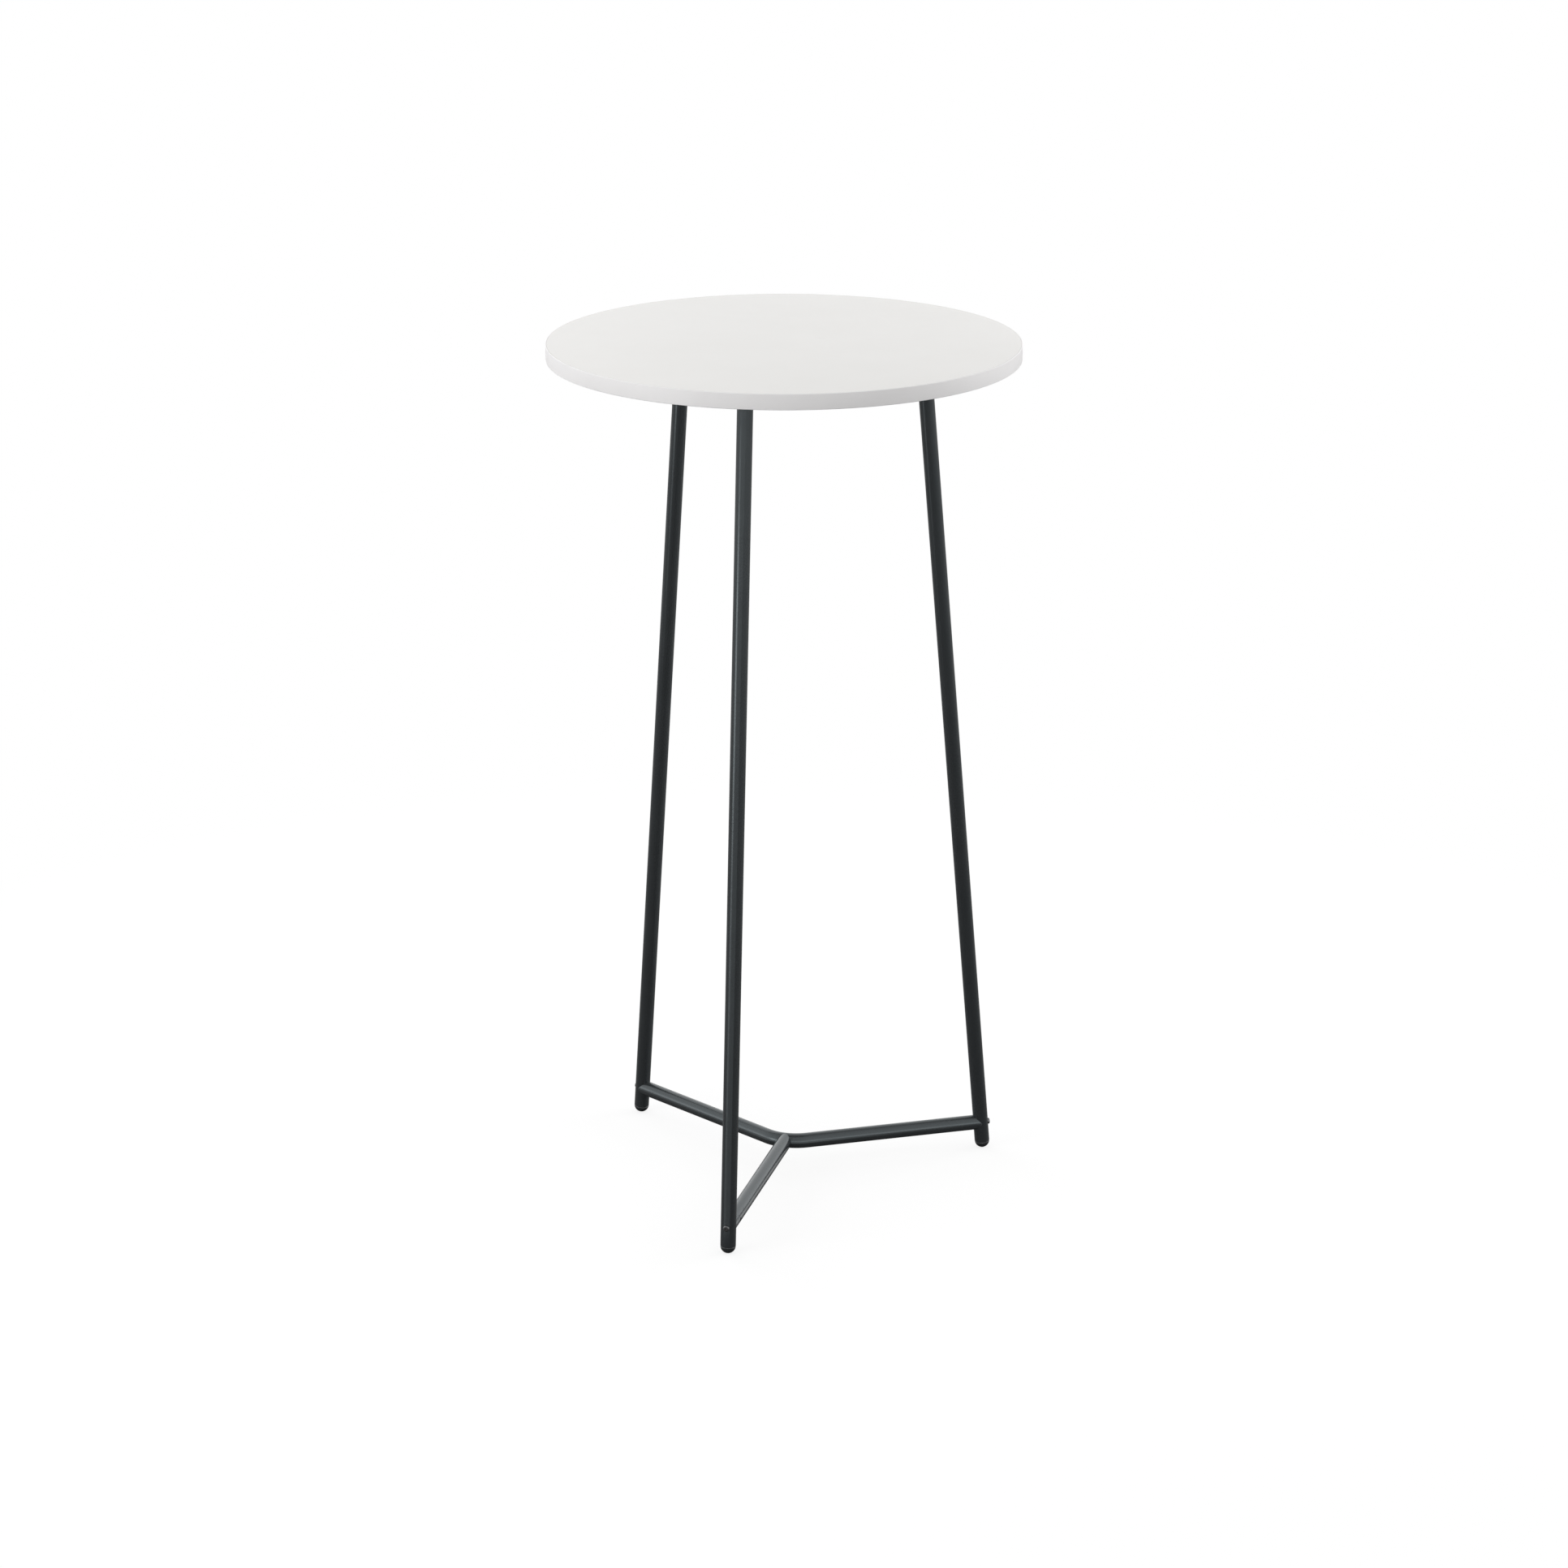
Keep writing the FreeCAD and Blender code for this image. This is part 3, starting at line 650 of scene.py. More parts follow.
def makeBlackScrews():
    values = blackScrews
    material, tree, place = newMaterial("blackScrews", Metallic=1.0)
    colour = addTone(tree, place, values, "brownColour")
    # Partly real wear, partly painted highlight: pale edges that read as light on the head's rim
    colour = addMix(tree, addWear(tree, place, values), colour, values["brightColour"])
    return setSurface(material, colour, addGloss(tree, place, values), addGrain(tree, place, values), values)


# Glossy black dome feet, with a painted highlight along the seam, and scuffed where they slide over the floor
footPlastic = {
    "colour": (0.0155, 0.0178, 0.0182, 1),
    "greyColour": (0.0195, 0.0220, 0.0224, 1),
    "lipColour": (0.52, 0.535, 0.55, 1),
    "scuffColour": (0.075, 0.075, 0.073, 1),
    "toneScale": 90.0,
    # radius, amount and how even of the painted seam highlight
    "edgeWearAndHighlight": (0.0006, 0.9, 0.75),
    "scuffs": (0.0035, 1.0),
    "roughness": (0.16, 0.26),
    "glossScale": 120.0,
    "scuffRoughness": 0.4,
    "dimples": 1500.0,
    "grit": 0.3,
    "bump": (0.15, 0.00003),
    "ior": 1.65,
}


def makeFootPlastic():
    values = footPlastic
    material, tree, place = newMaterial("footPlastic", IOR=values["ior"])
    colour = addTone(tree, place, values, "greyColour")
    # Painted highlight: a pale line along the seam's chamfer, laid with the edge mask
    colour = addMix(tree, addWear(tree, place, values), colour, values["lipColour"])
    rubbed = addScuffs(tree, place, values)
    colour = addMix(tree, rubbed, colour, values["scuffColour"])
    rough = addMath(tree, "MULTIPLY", rubbed, values["scuffRoughness"])
    gloss = addMath(tree, "ADD", addGloss(tree, place, values), rough, clamp=True)
    return setSurface(material, colour, gloss, addGrain(tree, place, values), values)


# The finishes by name: a piece's slot is called after its finish
finishes = {
    "coated_steel": makeCoatedSteel(),
    "white_laminate": makeWhiteLaminate(),
    "white_edging": makeWhiteEdging(),
    "backing_laminate": makeBackingLaminate(),
    "board": makeBoard(),
    "zinc_steel": makeZincSteel(),
    "black_screws": makeBlackScrews(),
    "foot_plastic": makeFootPlastic(),
}
print("materials ready")


# Round top: the laminate sheet, its edge just broken so that the joint shows
topSheet = {"sides": 256, "arris": 0.00012}


def makeTopSheet():
    radius = laminateHigh.x
    thickness = laminateHigh.z - laminateLow.z
    middle = (laminateLow.z + laminateHigh.z) / 2
    bpy.ops.mesh.primitive_cylinder_add(
        vertices=topSheet["sides"], radius=radius, depth=thickness, location=(0, 0, middle))
    piece = startPiece("topSheet")
    openPiece(piece)
    pick("EDGE", lambda edge: min(vert.co.z for vert in edge.verts) > middle)
    bpy.ops.mesh.bevel(offset=topSheet["arris"], segments=2, affect="EDGES")
    closePiece()
    finishPiece(piece, "white_laminate", "tabletop_laminate")


# Edge band: a strip wrapped round the top, its two ends meeting at the back
edgeBand = {
    "rounding": 0.001,
    "roundingSteps": 6,
    "innerArris": 0.00012,
    "jointGap": 0.00010,
    "jointTurn": 100,
    "steps": 360,
}


def makeEdgeBand():
    outer = min(bandHigh.x, bandHigh.y, -bandLow.x, -bandLow.y) - mergeReach
    inner = laminateHigh.x
    rounding = edgeBand["rounding"]
    arris = edgeBand["innerArris"]
    low, high = bandLow.z, bandHigh.z
    steps = edgeBand["roundingSteps"]
    points = [(inner, low + arris), (inner + arris, low)]
    points += arcPoints((outer - rounding, low + rounding), rounding, -90, 0, steps)
    points += arcPoints((outer - rounding, high - rounding), rounding, 0, 90, steps)
    points += [(inner + arris, high), (inner, high - arris), (inner, low + arris)]
    piece = drawOutline("edgeBand", points)
    openPiece(piece)
    bpy.ops.mesh.remove_doubles(threshold=mergeReach)
    gapTurn = edgeBand["jointGap"] / outer
    bpy.ops.mesh.spin(
        steps=edgeBand["steps"], angle=math.tau - gapTurn, center=(0, 0, 0), axis=(0, 0, -1))
    startNormal = Vector((0, 1, 0))
    endNormal = Vector((math.sin(gapTurn), math.cos(gapTurn), 0))
    for normal in (startNormal, endNormal):
        pick("VERT", lambda vert: abs(vert.co.dot(normal)) < mergeReach and vert.co.x > 0)
        bpy.ops.mesh.edge_face_add()
    tidySolid()
    closePiece()
    placePiece(piece, aroundTable(edgeBand["jointTurn"]))
    finishPiece(piece, "white_edging", "tabletop_edge_band")


makeTopSheet()
makeEdgeBand()
print("top ready")


# Makes a solid round bar into a tube: inset ends, bridged through its middle
def boreThrough(wall):
    pick("FACE", lambda face: len(face.verts) > 4)  # both ends
    bpy.ops.mesh.inset(thickness=wall)
    bpy.ops.mesh.bridge_edge_loops()


def addBar(name, radius, length, place):
    bpy.ops.mesh.primitive_cylinder_add(vertices=table["tubeSides"], radius=radius, depth=length)
    bar = startPiece(name)
    placePiece(bar, place)
    return bar


# Leg tube: leaning, level at its top, drilled and spot-faced for the stretcher bolt
legTube = {"endChamfer": 0.0004, "boltHoleRadius": 0.0027, "seatRadius": 0.0043}
boltSeat = math.sqrt(tubeRadius ** 2 - legTube["seatRadius"] ** 2)
boltPlace = Matrix.Translation((0, -stretcherReach - boltSeat, stretcherHeight))
boltFrame = boltPlace @ Matrix.Rotation(-math.pi / 2, 4, "X")


def makeLegTube():
    length = legLength + tubeRadius
    piece = addBar("legTube", tubeRadius, length, Matrix.Translation((0, 0, length / 2)))
    openPiece(piece)
    bpy.ops.mesh.bisect(
        plane_co=(0, 0, legLength), plane_no=levelNormal, use_fill=True, clear_outer=True,
        threshold=mergeReach)
    boreThrough(table["legWall"])
    rim = tubeRadius - fitGap
    pick("EDGE", lambda edge: all(vert.co.z < fitGap and radiusOf(vert.co) > rim for vert in edge.verts))
    bpy.ops.mesh.bevel(offset=legTube["endChamfer"], segments=2, affect="EDGES")
    closePiece()
    placePiece(piece, legFrame)
    reach = 2 * tubeRadius
    cutWith(piece, addBar("boltHole", legTube["boltHoleRadius"], 2 * reach, boltFrame))
    seatPlace = boltFrame @ Matrix.Translation((0, 0, -reach / 2))
    cutWith(piece, addBar("boltSeat", legTube["seatRadius"], reach, seatPlace))
    finishOnArms(piece, "coated_steel", "{}_leg_tube")


# Dome foot: a half ball as wide as the tube, on a ribbed hollow stem inside it
domeFoot = {
    "seamChamfer": 0.0008,
    "ribRadius": 0.00795,
    "ribHeight": 0.0006,
    "ribPitch": 0.004,
    "ribWidth": 0.0015,
    "ribCount": 3,
    "stemWall": 0.002,
    "stemLength": 0.015,
    "floorHeight": 0.002,
    "gateRadius": 0.0009,
    "gateFlat": 0.8,  # share of it that is flat
    "gateDepth": 0.00025,
    "domeSteps": 28,
    "steps": 96,
}


def makeDomeFoot():
    foot = domeFoot
    stem = foot["ribRadius"] - foot["ribHeight"]
    hollow = stem - foot["stemWall"]
    gateTurn = math.degrees(foot["gateRadius"] / tubeRadius)
    seamTurn = math.degrees(foot["seamChamfer"] / tubeRadius)
    gate = foot["gateDepth"] - tubeRadius
    points = [(0, gate), (foot["gateRadius"] * foot["gateFlat"], gate)]
    points += arcPoints((0, 0), tubeRadius, gateTurn - 90, -seamTurn, foot["domeSteps"])
    points += [(tubeRadius - foot["seamChamfer"], 0), (stem, 0)]
    for rib in range(foot["ribCount"]):
        top = (rib + 1) * foot["ribPitch"]
        points += [(stem, top - foot["ribWidth"]), (foot["ribRadius"], top - foot["ribHeight"])]
        points += [(foot["ribRadius"], top), (stem, top)]
    points += [(stem, foot["stemLength"]), (hollow, foot["stemLength"])]
    points += [(hollow, foot["floorHeight"]), (0, foot["floorHeight"])]
    piece = turnOutline("domeFoot", points, foot["steps"])
    placePiece(piece, legFrame)
    finishOnArms(piece, "foot_plastic", "{}_foot")


# Mounting plate with four countersunk holes, screwed up under the top
legPlate = {
    "rounding": 0.001,
    "roundingSteps": 4,
    "holeRadius": 0.0032,
    "sinkRadius": 0.00565,
    "topArris": 0.0002,
    "steps": 128,
    "sinkSteps": 64,
}


def makeLegPlate():
    radius = (plateHigh.x - plateLow.x) / 2
    thickness = plateHigh.z - plateLow.z
    rounding, arris = legPlate["rounding"], legPlate["topArris"]
    points = [(0, 0)]
    points += arcPoints((radius - rounding, rounding), rounding, -90, 0, legPlate["roundingSteps"])
    points += [(radius, thickness - arris), (radius - arris, thickness), (0, thickness)]
    piece = turnOutline("legPlate", points, legPlate["steps"])
    sink, hole = legPlate["sinkRadius"], legPlate["holeRadius"]
    low, high = -thickness, 2 * thickness
    section = [(0, low), (sink, low), (sink, 0), (hole, sink - hole), (hole, high), (0, high)]
    for turn in screwTurns:
        cutter = turnOutline("countersink", section, legPlate["sinkSteps"])
        placePiece(cutter, aroundTable(turn) @ Matrix.Translation((table["screwReach"], 0, 0)))
        cutWith(piece, cutter)
    placePiece(piece, Matrix.Translation((0, -plateReach, plateUnderside)))
    finishOnArms(piece, "coated_steel", "{}_leg_plate")


# Fillet weld round each leg under its plate, laid down as overlapping ripples
legWeld = {
    "size": 0.003,
    "bulge": 0.00035,
    "ripples": 46,
    "rippleHeight": 0.00016,
    "rippleSag": 0.9,
    "wander": 0.5,  # how unevenly the ripples follow one another
    "wanderScale": 6,
    "steps": 276,
    "faceSteps": 8,
}


def makeLegWeld():
    weld = legWeld
    toe = legLength - weld["size"]
    face = weld["size"] + 2 * (tubeRadius + weld["size"]) * math.tan(lean)
    points = []
    for step in range(weld["faceSteps"] + 1):
        share = step / weld["faceSteps"]
        swell = weld["bulge"] * math.sin(math.pi * share) / math.sqrt(2)
        points.append((tubeRadius + share * face + swell, toe + share * face - swell))
    points += [(tubeRadius, toe + face), (tubeRadius, toe)]
    piece = turnOutline("legWeld", points, weld["steps"])

    def ripple(place):
        depth = radiusOf(place) - tubeRadius
        if depth < fitGap or depth > face - fitGap:
            return place
        turn = math.atan2(place.y, place.x)
        share = depth / face
        ring = Vector((math.cos(turn), math.sin(turn), 0))
        wander = weld["wander"] * noise.noise(ring * weld["wanderScale"])
        sag = weld["rippleSag"] * (2 * share - 1) ** 2
        phase = (turn / math.tau * weld["ripples"] + sag + wander) % 1
        lift = weld["rippleHeight"] * (1 - phase) * math.sin(math.pi * min(1, share)) * (1 + wander)
        outward = Vector((place.x, place.y, 0)).normalized()
        return place + (outward - Vector((0, 0, 1))) * lift

    openPiece(piece)
    reshape(ripple)
    bpy.ops.mesh.bisect(
        plane_co=(0, 0, legLength), plane_no=levelNormal, clear_outer=True, threshold=mergeReach)
    bpy.ops.mesh.select_mode(type="EDGE")
    bpy.ops.mesh.select_all(action="DESELECT")
    bpy.ops.mesh.select_non_manifold()
    bpy.ops.mesh.bridge_edge_loops()
    tidySolid()
    closePiece()
    placePiece(piece, legFrame)
    finishOnArms(piece, "coated_steel", "{}_leg_weld")


makeLegTube()
makeDomeFoot()
makeLegPlate()
makeLegWeld()
print("legs ready")


# What both kinds of screw share
screwMaking = {
    "ringsPerPitch": 5,
    "grooveSlope": 1.25,  # over 1, the groove has a flat floor
    "socketTip": 0.15,  # cone at the socket's floor, as a share of its size
}


# Presses a helical thread into the shaft of a turned screw
def rollThread(piece, screw, high):
    radius, low, pitch = screw["radius"], screw["threadStart"], screw["pitch"]

    def thread(place):
        if radiusOf(place) < radius - fitGap or not low < place.z < high:
            return place
        fade = min(1, (place.z - low) / pitch, (high - place.z) / pitch)
        phase = (place.z / pitch - math.atan2(place.y, place.x) / math.tau) % 1
        groove = min(1, screwMaking["grooveSlope"] * (1 - abs(2 * phase - 1)))
        share = 1 - screw["threadDepth"] * fade * groove / radius
        return Vector((place.x * share, place.y * share, place.z))

    openPiece(piece)
    reshape(thread)
    closePiece()


# Sinks a hexagon socket into the head, with a blunt cone for its floor
def cutSocket(piece, screw, height):
    radius = screw["socketWidth"] / 2 / math.cos(math.pi / 6)
    depth, tip = screw["socketDepth"], screwMaking["socketTip"]
    bpy.ops.mesh.primitive_cylinder_add(vertices=6, radius=radius, depth=2 * depth, location=(0, 0, height))
    cutter = startPiece("socket")
    openPiece(cutter)
    pick("FACE", lambda face: face.normal.z > 0.9)  # the end inside the screw
    bpy.ops.mesh.inset(thickness=radius * tip)
    bpy.ops.mesh.extrude_region_move(TRANSFORM_OT_translate={"value": (0, 0, depth * tip)})
    bpy.ops.mesh.merge(type="CENTER")
    closePiece()
    cutWith(piece, cutter)


def shaftPoints(screw, high):
    low = screw["threadStart"]
    rings = round((high - low) / screw["pitch"] * screwMaking["ringsPerPitch"])
    return [(screw["radius"], low + (high - low) * ring / rings) for ring in range(rings + 1)]


# Countersunk screws, up through the plates into the inserts
plateScrew = {
    "headRadius": 0.0056,
    "headEdge": 0.00025,
    "edgeBreak": 0.4,  # share of the edge by which its corners are broken
    "radius": 0.003,
    "length": 0.016,
    "tipChamfer": 0.0008,
    "pitch": 0.001,
    "threadDepth": 0.00055,
    "threadStart": 0.0045,
    "socketWidth": 0.004,
    "socketDepth": 0.002,
    "socketTurn": 37,  # each screw stops at a turn of its own
    "legTurn": 7,
    "steps": 48,
}


def makePlateScrews():
    screw = plateScrew
    radius, head, edge = screw["radius"], screw["headRadius"], screw["headEdge"]
    broken = edge * screw["edgeBreak"]
    shaftEnd = screw["length"] - screw["tipChamfer"]
    points = [(0, 0), (head - edge, 0), (head, broken)]
    points += [(head - broken, edge), (radius, head - radius + broken)]
    points += shaftPoints(screw, shaftEnd)
    points += [(radius - screw["tipChamfer"], screw["length"]), (0, screw["length"])]
    piece = turnOutline("plateScrew", points, screw["steps"])
    rollThread(piece, screw, shaftEnd)
    cutSocket(piece, screw, 0)
    for armName, armTurn in armTurns.items():
        for place, turn in enumerate(screwTurns, start=1):
            middle = aroundTable(armTurn) @ Matrix.Translation((0, -plateReach, plateUnderside))
            spot = middle @ aroundTable(turn) @ Matrix.Translation((table["screwReach"], 0, 0))
            spin = aroundTable(screw["socketTurn"] * place + armTurn / screw["legTurn"])
            twin = copyPiece(piece, f"plateScrew{armName}{place}", spot @ spin)
            finishPiece(twin, "black_screws", "plate_screws")
    bpy.data.objects.remove(piece, do_unlink=True)


# Low-headed bolts, from outside each leg into the plugs in the stretcher's ends
stretcherBolt = {
    "headRadius": 0.0041,
    "headHeight": 0.0032,
    "headRounding": 0.0013,
    "roundingSteps": 6,
    "radius": 0.0025,
    "length": 0.030,
    "tipChamfer": 0.0006,
    "pitch": 0.0008,
    "threadDepth": 0.00045,
    "threadStart": 0.004,
    "socketWidth": 0.003,
    "socketDepth": 0.002,
    "steps": 48,
}


def makeStretcherBolts():
    bolt = stretcherBolt
    head, height, rounding = bolt["headRadius"], bolt["headHeight"], bolt["headRounding"]
    shaftEnd = bolt["length"] - bolt["tipChamfer"]
    points = [(0, -height)]
    points += arcPoints((head - rounding, rounding - height), rounding, -90, 0, bolt["roundingSteps"])
    points += [(head, 0), (bolt["radius"], 0)]
    points += shaftPoints(bolt, shaftEnd)
    points += [(bolt["radius"] - bolt["tipChamfer"], bolt["length"]), (0, bolt["length"])]
    piece = turnOutline("stretcherBolt", points, bolt["steps"])
    rollThread(piece, bolt, shaftEnd)
    cutSocket(piece, bolt, -height)
    placePiece(piece, boltFrame)
    finishOnArms(piece, "black_screws", "stretcher_bolts")


makePlateScrews()
makeStretcherBolts()
print("screws and bolts ready")


# Bent stretcher: one tube from the left leg round the bend to the right leg
bentTube = {"bendSteps": 24}


def legCutter():
    reach = 4 * tubeRadius
    place = legFrame @ Matrix.Translation((0, 0, table["stretcherOffset"]))
    return addBar("legCutter", tubeRadius + fitGap, reach, place)


# A round skin with open ends along the bend and both arms, for the tube or for a cutter
def addBend(name, radius, reach):
    left = aroundTable(armTurns["Left"])
    right = aroundTable(armTurns["Right"])
    start = left @ Vector((0, -bendTangent, 0))
    height = Vector((0, 0, stretcherHeight))
    bpy.ops.mesh.primitive_circle_add(
        vertices=table["tubeSides"], radius=radius, fill_type="NOTHING",
        location=start + height, rotation=(math.pi / 2, 0, math.radians(armTurns["Left"])))
    piece = startPiece(name)
    openPiece(piece)
    centre = Vector((0, bendApex + table["bendRadius"], stretcherHeight))
    bpy.ops.mesh.spin(
        steps=bentTube["bendSteps"], angle=2 * armHalfTurn, center=centre, axis=(0, 0, -1))
    end = bendTangent - fitGap
    for turned in (left, right):
        outward = turned @ Vector((0, -1, 0))
        pick("VERT", lambda vert: vert.co.dot(outward) > end and (vert.co.x > 0) == (outward.x > 0))
        step = outward * (reach - bendTangent)
        bpy.ops.mesh.extrude_region_move(TRANSFORM_OT_translate={"value": step})
    bpy.ops.mesh.select_all(action="SELECT")
    bpy.ops.mesh.normals_make_consistent(inside=False)
    closePiece()
    return piece


def makeBentTube():
    piece = addBend("bentTube", tubeRadius, stretcherReach)
    applyModifier(piece, "SOLIDIFY", thickness=table["stretcherWall"], offset=-1, use_even_offset=True)
    for armName in ("Left", "Right"):
        cutter = legCutter()
        placePiece(cutter, aroundTable(armTurns[armName]))
        cutWith(piece, cutter)
    finishPiece(piece, "coated_steel", "bent_stretcher_tube")


# Straight stretcher: coped over the bend and over the front leg, with a vent hole
straightTube = {"ventRadius": 0.00225, "ventDistance": 0.013}


def makeStraightTube():
    start = bendApex
    length = start + stretcherReach
    middle = Matrix.Translation((0, start - length / 2, stretcherHeight))
    piece = addBar("straightTube", tubeRadius, length, middle @ Matrix.Rotation(math.pi / 2, 4, "X"))
    openPiece(piece)
    boreThrough(table["stretcherWall"])
    closePiece()
    cutWith(piece, legCutter())
    bend = addBend("bendCutter", tubeRadius + fitGap, 3 * bendTangent)
    openPiece(bend)
    bpy.ops.mesh.select_all(action="DESELECT")
    bpy.ops.mesh.select_non_manifold()
    bpy.ops.mesh.edge_face_add()
    closePiece()
    cutWith(piece, bend)
    ventReach = stretcherReach - tubeRadius - straightTube["ventDistance"]
    side = Matrix.Translation((tubeRadius, -ventReach, stretcherHeight))
    across = side @ Matrix.Rotation(math.pi / 2, 4, "Y")
    cutWith(piece, addBar("vent", straightTube["ventRadius"], tubeRadius, across))
    finishPiece(piece, "coated_steel", "straight_stretcher_tube")


makeBentTube()
makeStraightTube()
print("stretcher ready")


# Solids that keep their own mesh: only their finish is new
keptNodes = {
    "tabletop_core": "board",
    "tabletop_backing_laminate": "backing_laminate",
    "tabletop_inserts": "zinc_steel",
}
for armName in armTurns:
    keptNodes[armName.lower() + "_stretcher_plug"] = "zinc_steel"
for nodeName, finish in keptNodes.items():
    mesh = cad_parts[nodeName].data
    mesh.materials.clear()
    mesh.materials.append(finishes[finish])


# Floor: white to the camera, but for a faint shadow round the table's feet.
# To the table it is a dark glossy studio floor, brighter towards the horizon, with a painted glow pool
# between the legs that only reflections show.
studio = {
    "floorSize": 80,
    "floorColour": (0.95, 0.95, 0.95, 1),
    "shadowShare": 0.20,  # how much of the floor's own shading the camera sees
    "shadowReach": (0.5, 1.7),
    "bounceColour": (0.16, 0.16, 0.16, 1),
    "glossyFloorColour": (0.06, 0.06, 0.06, 1),
    "glossyFloorRoughness": 0.28,
    "glossyFloorIor": 1.55,
    "sheen": 0.67,  # painted reflection: the glow it adds at a low angle, between the table's legs
    "sheenFacing": (0.60, 0.70),
    "sheenMiddle": (0.02, -0.08, 0),
    "sheenReach": (0.12, 0.22),
}


def makeFloor():
    bpy.ops.mesh.primitive_plane_add(size=studio["floorSize"])
    floor = startPiece("floor")
    material, tree, place = newMaterial(
        "paleFloor", Base_Color=studio["glossyFloorColour"], Roughness=studio["glossyFloorRoughness"],
        IOR=studio["glossyFloorIor"])
    glossy = tree.nodes["Principled BSDF"].outputs[0]
    reach = addMeasure(tree, "LENGTH", place)
    rays = addNode(tree, "LightPath").outputs

    matt = addNode(tree, "BsdfDiffuse", {"Color": studio["floorColour"]}).outputs[0]
    white = addNode(tree, "Emission", {"Strength": 1.0}).outputs[0]
    share = addRange(tree, reach, *studio["shadowReach"], studio["shadowShare"], 0.0)
    seen = addNode(tree, "MixShader", {0: share, 1: white, 2: matt}).outputs[0]

    # Painted reflection: a glowing pool on the floor between the legs, with no lamp, seen by glossy rays only
    facing = addNode(tree, "LayerWeight", {"Blend": 0.5}).outputs["Facing"]
    low = addRange(tree, facing, *studio["sheenFacing"], 0.0, studio["sheen"])
    away = addMeasure(tree, "DISTANCE", place, studio["sheenMiddle"])
    paintedSheenPool = addMath(tree, "MULTIPLY", low, addRange(tree, away, *studio["sheenReach"], 1.0, 0.0))
    glow = addNode(tree, "Emission", {"Strength": paintedSheenPool}).outputs[0]
    mirror = addNode(tree, "AddShader", {0: glossy, 1: glow}).outputs[0]
    bounce = addNode(tree, "BsdfDiffuse", {"Color": studio["bounceColour"]}).outputs[0]
    blend = addNode(tree, "MixShader", {0: rays["Is Glossy Ray"], 1: bounce, 2: mirror}).outputs[0]
    blend = addNode(tree, "MixShader", {0: rays["Is Camera Ray"], 1: blend, 2: seen}).outputs[0]

    below = addNode(tree, "NewGeometry").outputs["Backfacing"]
    clear = addNode(tree, "BsdfTransparent").outputs[0]
    sided = addNode(tree, "MixShader", {0: below, 1: blend, 2: clear}).outputs[0]
    tree.links.new(sided, tree.nodes["Material Output"].inputs["Surface"])
    floor.data.materials.append(material)


# World: white behind the table; to the table, bright side walls, dimmer front and ceiling
walls = {
    "front": 0.69,
    "side": 0.45,  # added towards both sides
    "sideAxis": (0.996, 0.087, 0),
    "back": 0.35,  # added behind the table
    "backReach": (0.1, 0.8),
    "glow": 0.70,  # added all round just over the floor
    "glowReach": (0.12, 0.40),  # sine of the height, as for the ceiling
    "backGlow": 0.30,  # share of it left behind the table
    "ceiling": 0.62,
    "ceilingReach": (0.72, 0.96),
    "highBack": 0.35,  # taken off the ceiling behind the table
    "highBackReach": (0.05, 0.35),
}


def makeWorld():
    world = bpy.data.worlds.new("studio")
    bpy.context.scene.world = world
    world.use_nodes = True
    tree = world.node_tree
    tree.nodes.clear()
    direction = addNode(tree, "TexCoord").outputs["Generated"]
    axes = addNode(tree, "SeparateXYZ", {"Vector": direction}).outputs
    aside = addMeasure(tree, "DOT_PRODUCT", direction, walls["sideAxis"])
    side = addMath(tree, "MULTIPLY", addMath(tree, "MULTIPLY", aside, aside), walls["side"])
    back = addRange(tree, axes["Y"], *walls["backReach"], 0.0, walls["back"])
    wall = addMath(tree, "ADD", addMath(tree, "ADD", side, walls["front"]), back)
    highBack = addRange(tree, axes["Y"], *walls["highBackReach"], 0.0, walls["highBack"])
    ceiling = addMath(tree, "SUBTRACT", walls["ceiling"], highBack)
    overhead = addRange(tree, axes["Z"], *walls["ceilingReach"], 0.0, 1.0)
    glow = addRange(tree, axes["Z"], *walls["glowReach"], walls["glow"], 0.0)
    behind = addRange(tree, axes["Y"], *walls["backReach"], 1.0, walls["backGlow"])
    wall = addMath(tree, "ADD", wall, addMath(tree, "MULTIPLY", glow, behind))
    low = addMath(tree, "MULTIPLY", wall, addMath(tree, "SUBTRACT", 1.0, overhead))
    tone = addMath(tree, "ADD", low, addMath(tree, "MULTIPLY", ceiling, overhead))
    rays = addNode(tree, "LightPath").outputs
    white = addNode(tree, "Background", {"Strength": 1.0}).outputs[0]
    lit = addNode(tree, "Background", {"Strength": tone}).outputs[0]
    for background in (white, lit):
        background.node.inputs["Color"].default_value = (1, 1, 1, 1)
    seen = addNode(tree, "MixShader", {0: rays["Is Camera Ray"], 1: lit, 2: white}).outputs[0]
    addNode(tree, "OutputWorld", {"Surface": seen})


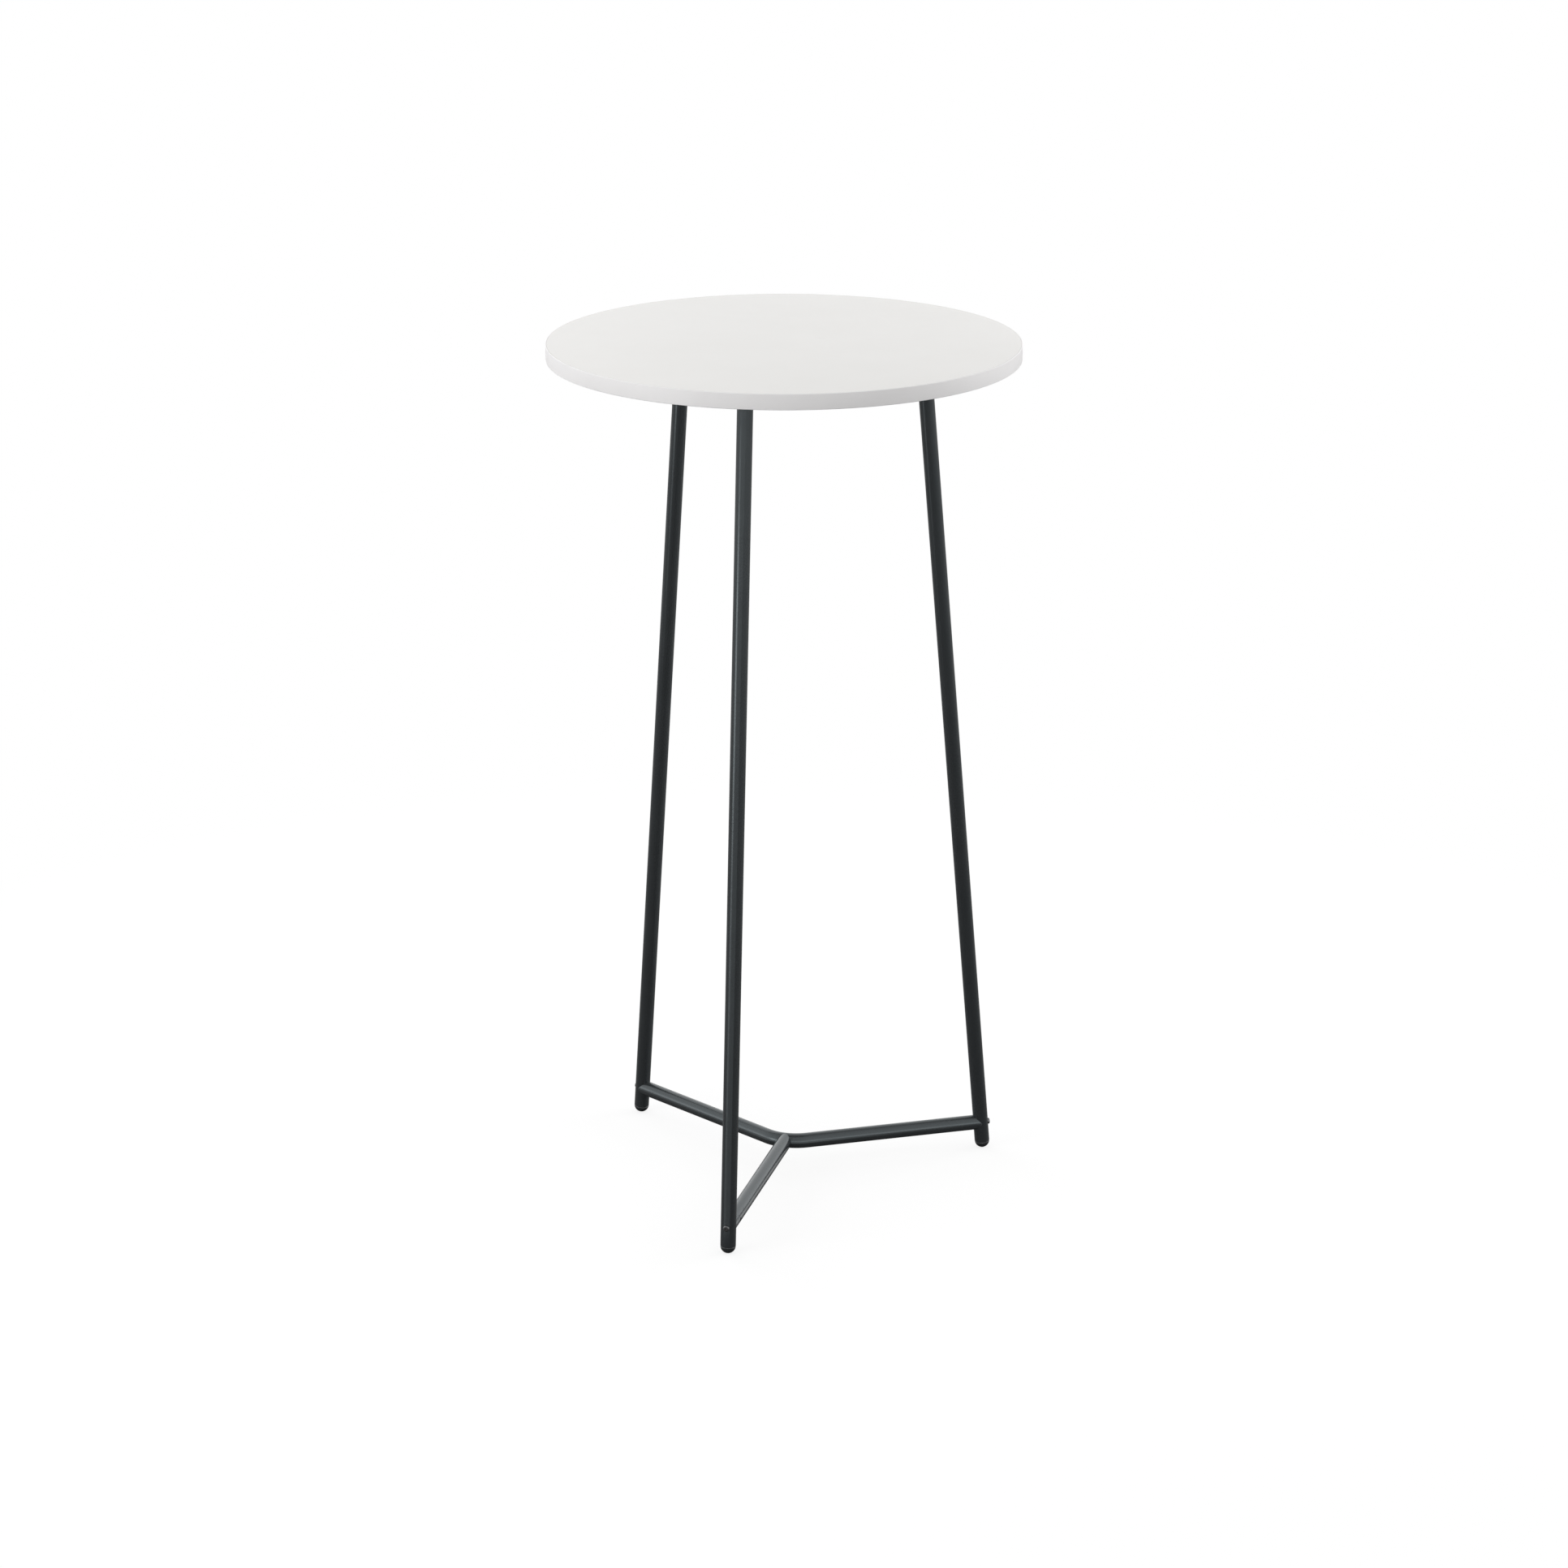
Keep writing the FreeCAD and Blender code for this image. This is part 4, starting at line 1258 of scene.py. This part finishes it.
# Soft lamps, aimed at a height on the table's axis. Reflections show the glossy one alone.
lamps = {
    "leftStrip": {"place": (-2.0, -2.4, 0.34), "aim": 0.34, "size": (1.0, 0.6), "power": 3.9, "glossy": True},
    "frontFill": {"place": (-2.2, -2.3, 1.3), "aim": 1.1, "size": (1.6, 1.6), "power": 29, "glossy": False},
    "leftFill": {"place": (-2.5, 1.7, 0.92), "aim": 1.1, "size": (2.0, 1.8), "power": 32, "glossy": False},
    "rightFill": {"place": (2.5, 1.75, 0.92), "aim": 1.1, "size": (2.0, 1.8), "power": 41, "glossy": False},
    "topFill": {"place": (0, 0, 3.0), "aim": 1.1, "size": (3.0, 3.0), "power": 6.7, "glossy": False},
}


def makeLamps():
    for lampName, lamp in lamps.items():
        data = bpy.data.lights.new(lampName, "AREA")
        data.shape = "RECTANGLE"
        data.size, data.size_y = lamp["size"]
        data.energy = lamp["power"]
        light = bpy.data.objects.new(lampName, data)
        bpy.context.scene.collection.objects.link(light)
        aim = Vector((0, 0, lamp["aim"])) - Vector(lamp["place"])
        light.location = lamp["place"]
        light.rotation_euler = aim.to_track_quat("-Z", "Y").to_euler()
        light.visible_camera = False
        light.visible_glossy = lamp["glossy"]


# Camera at the photograph's own place and angle
view = {
    "distance": 5.0505,  # from the table's axis, along the floor
    "height": 2.2076,
    "turn": 14.871,
    "pitch": 71.762,
    "focalPixels": 5029.14,
    "imagePixels": 1932,
    "sensor": 36,
}


def makeCamera():
    data = bpy.data.cameras.new("camera")
    data.sensor_width = view["sensor"]
    data.lens = view["focalPixels"] / view["imagePixels"] * view["sensor"]
    data.clip_end = studio["floorSize"]
    camera = bpy.data.objects.new("camera", data)
    bpy.context.scene.collection.objects.link(camera)
    turn = math.radians(view["turn"])
    camera.location = (view["distance"] * math.sin(turn), -view["distance"] * math.cos(turn), view["height"])
    camera.rotation_euler = (math.radians(view["pitch"]), 0, turn)
    bpy.context.scene.camera = camera


makeFloor()
makeWorld()
makeLamps()
makeCamera()
bpy.context.scene.view_settings.view_transform = "Standard"
print("studio ready")
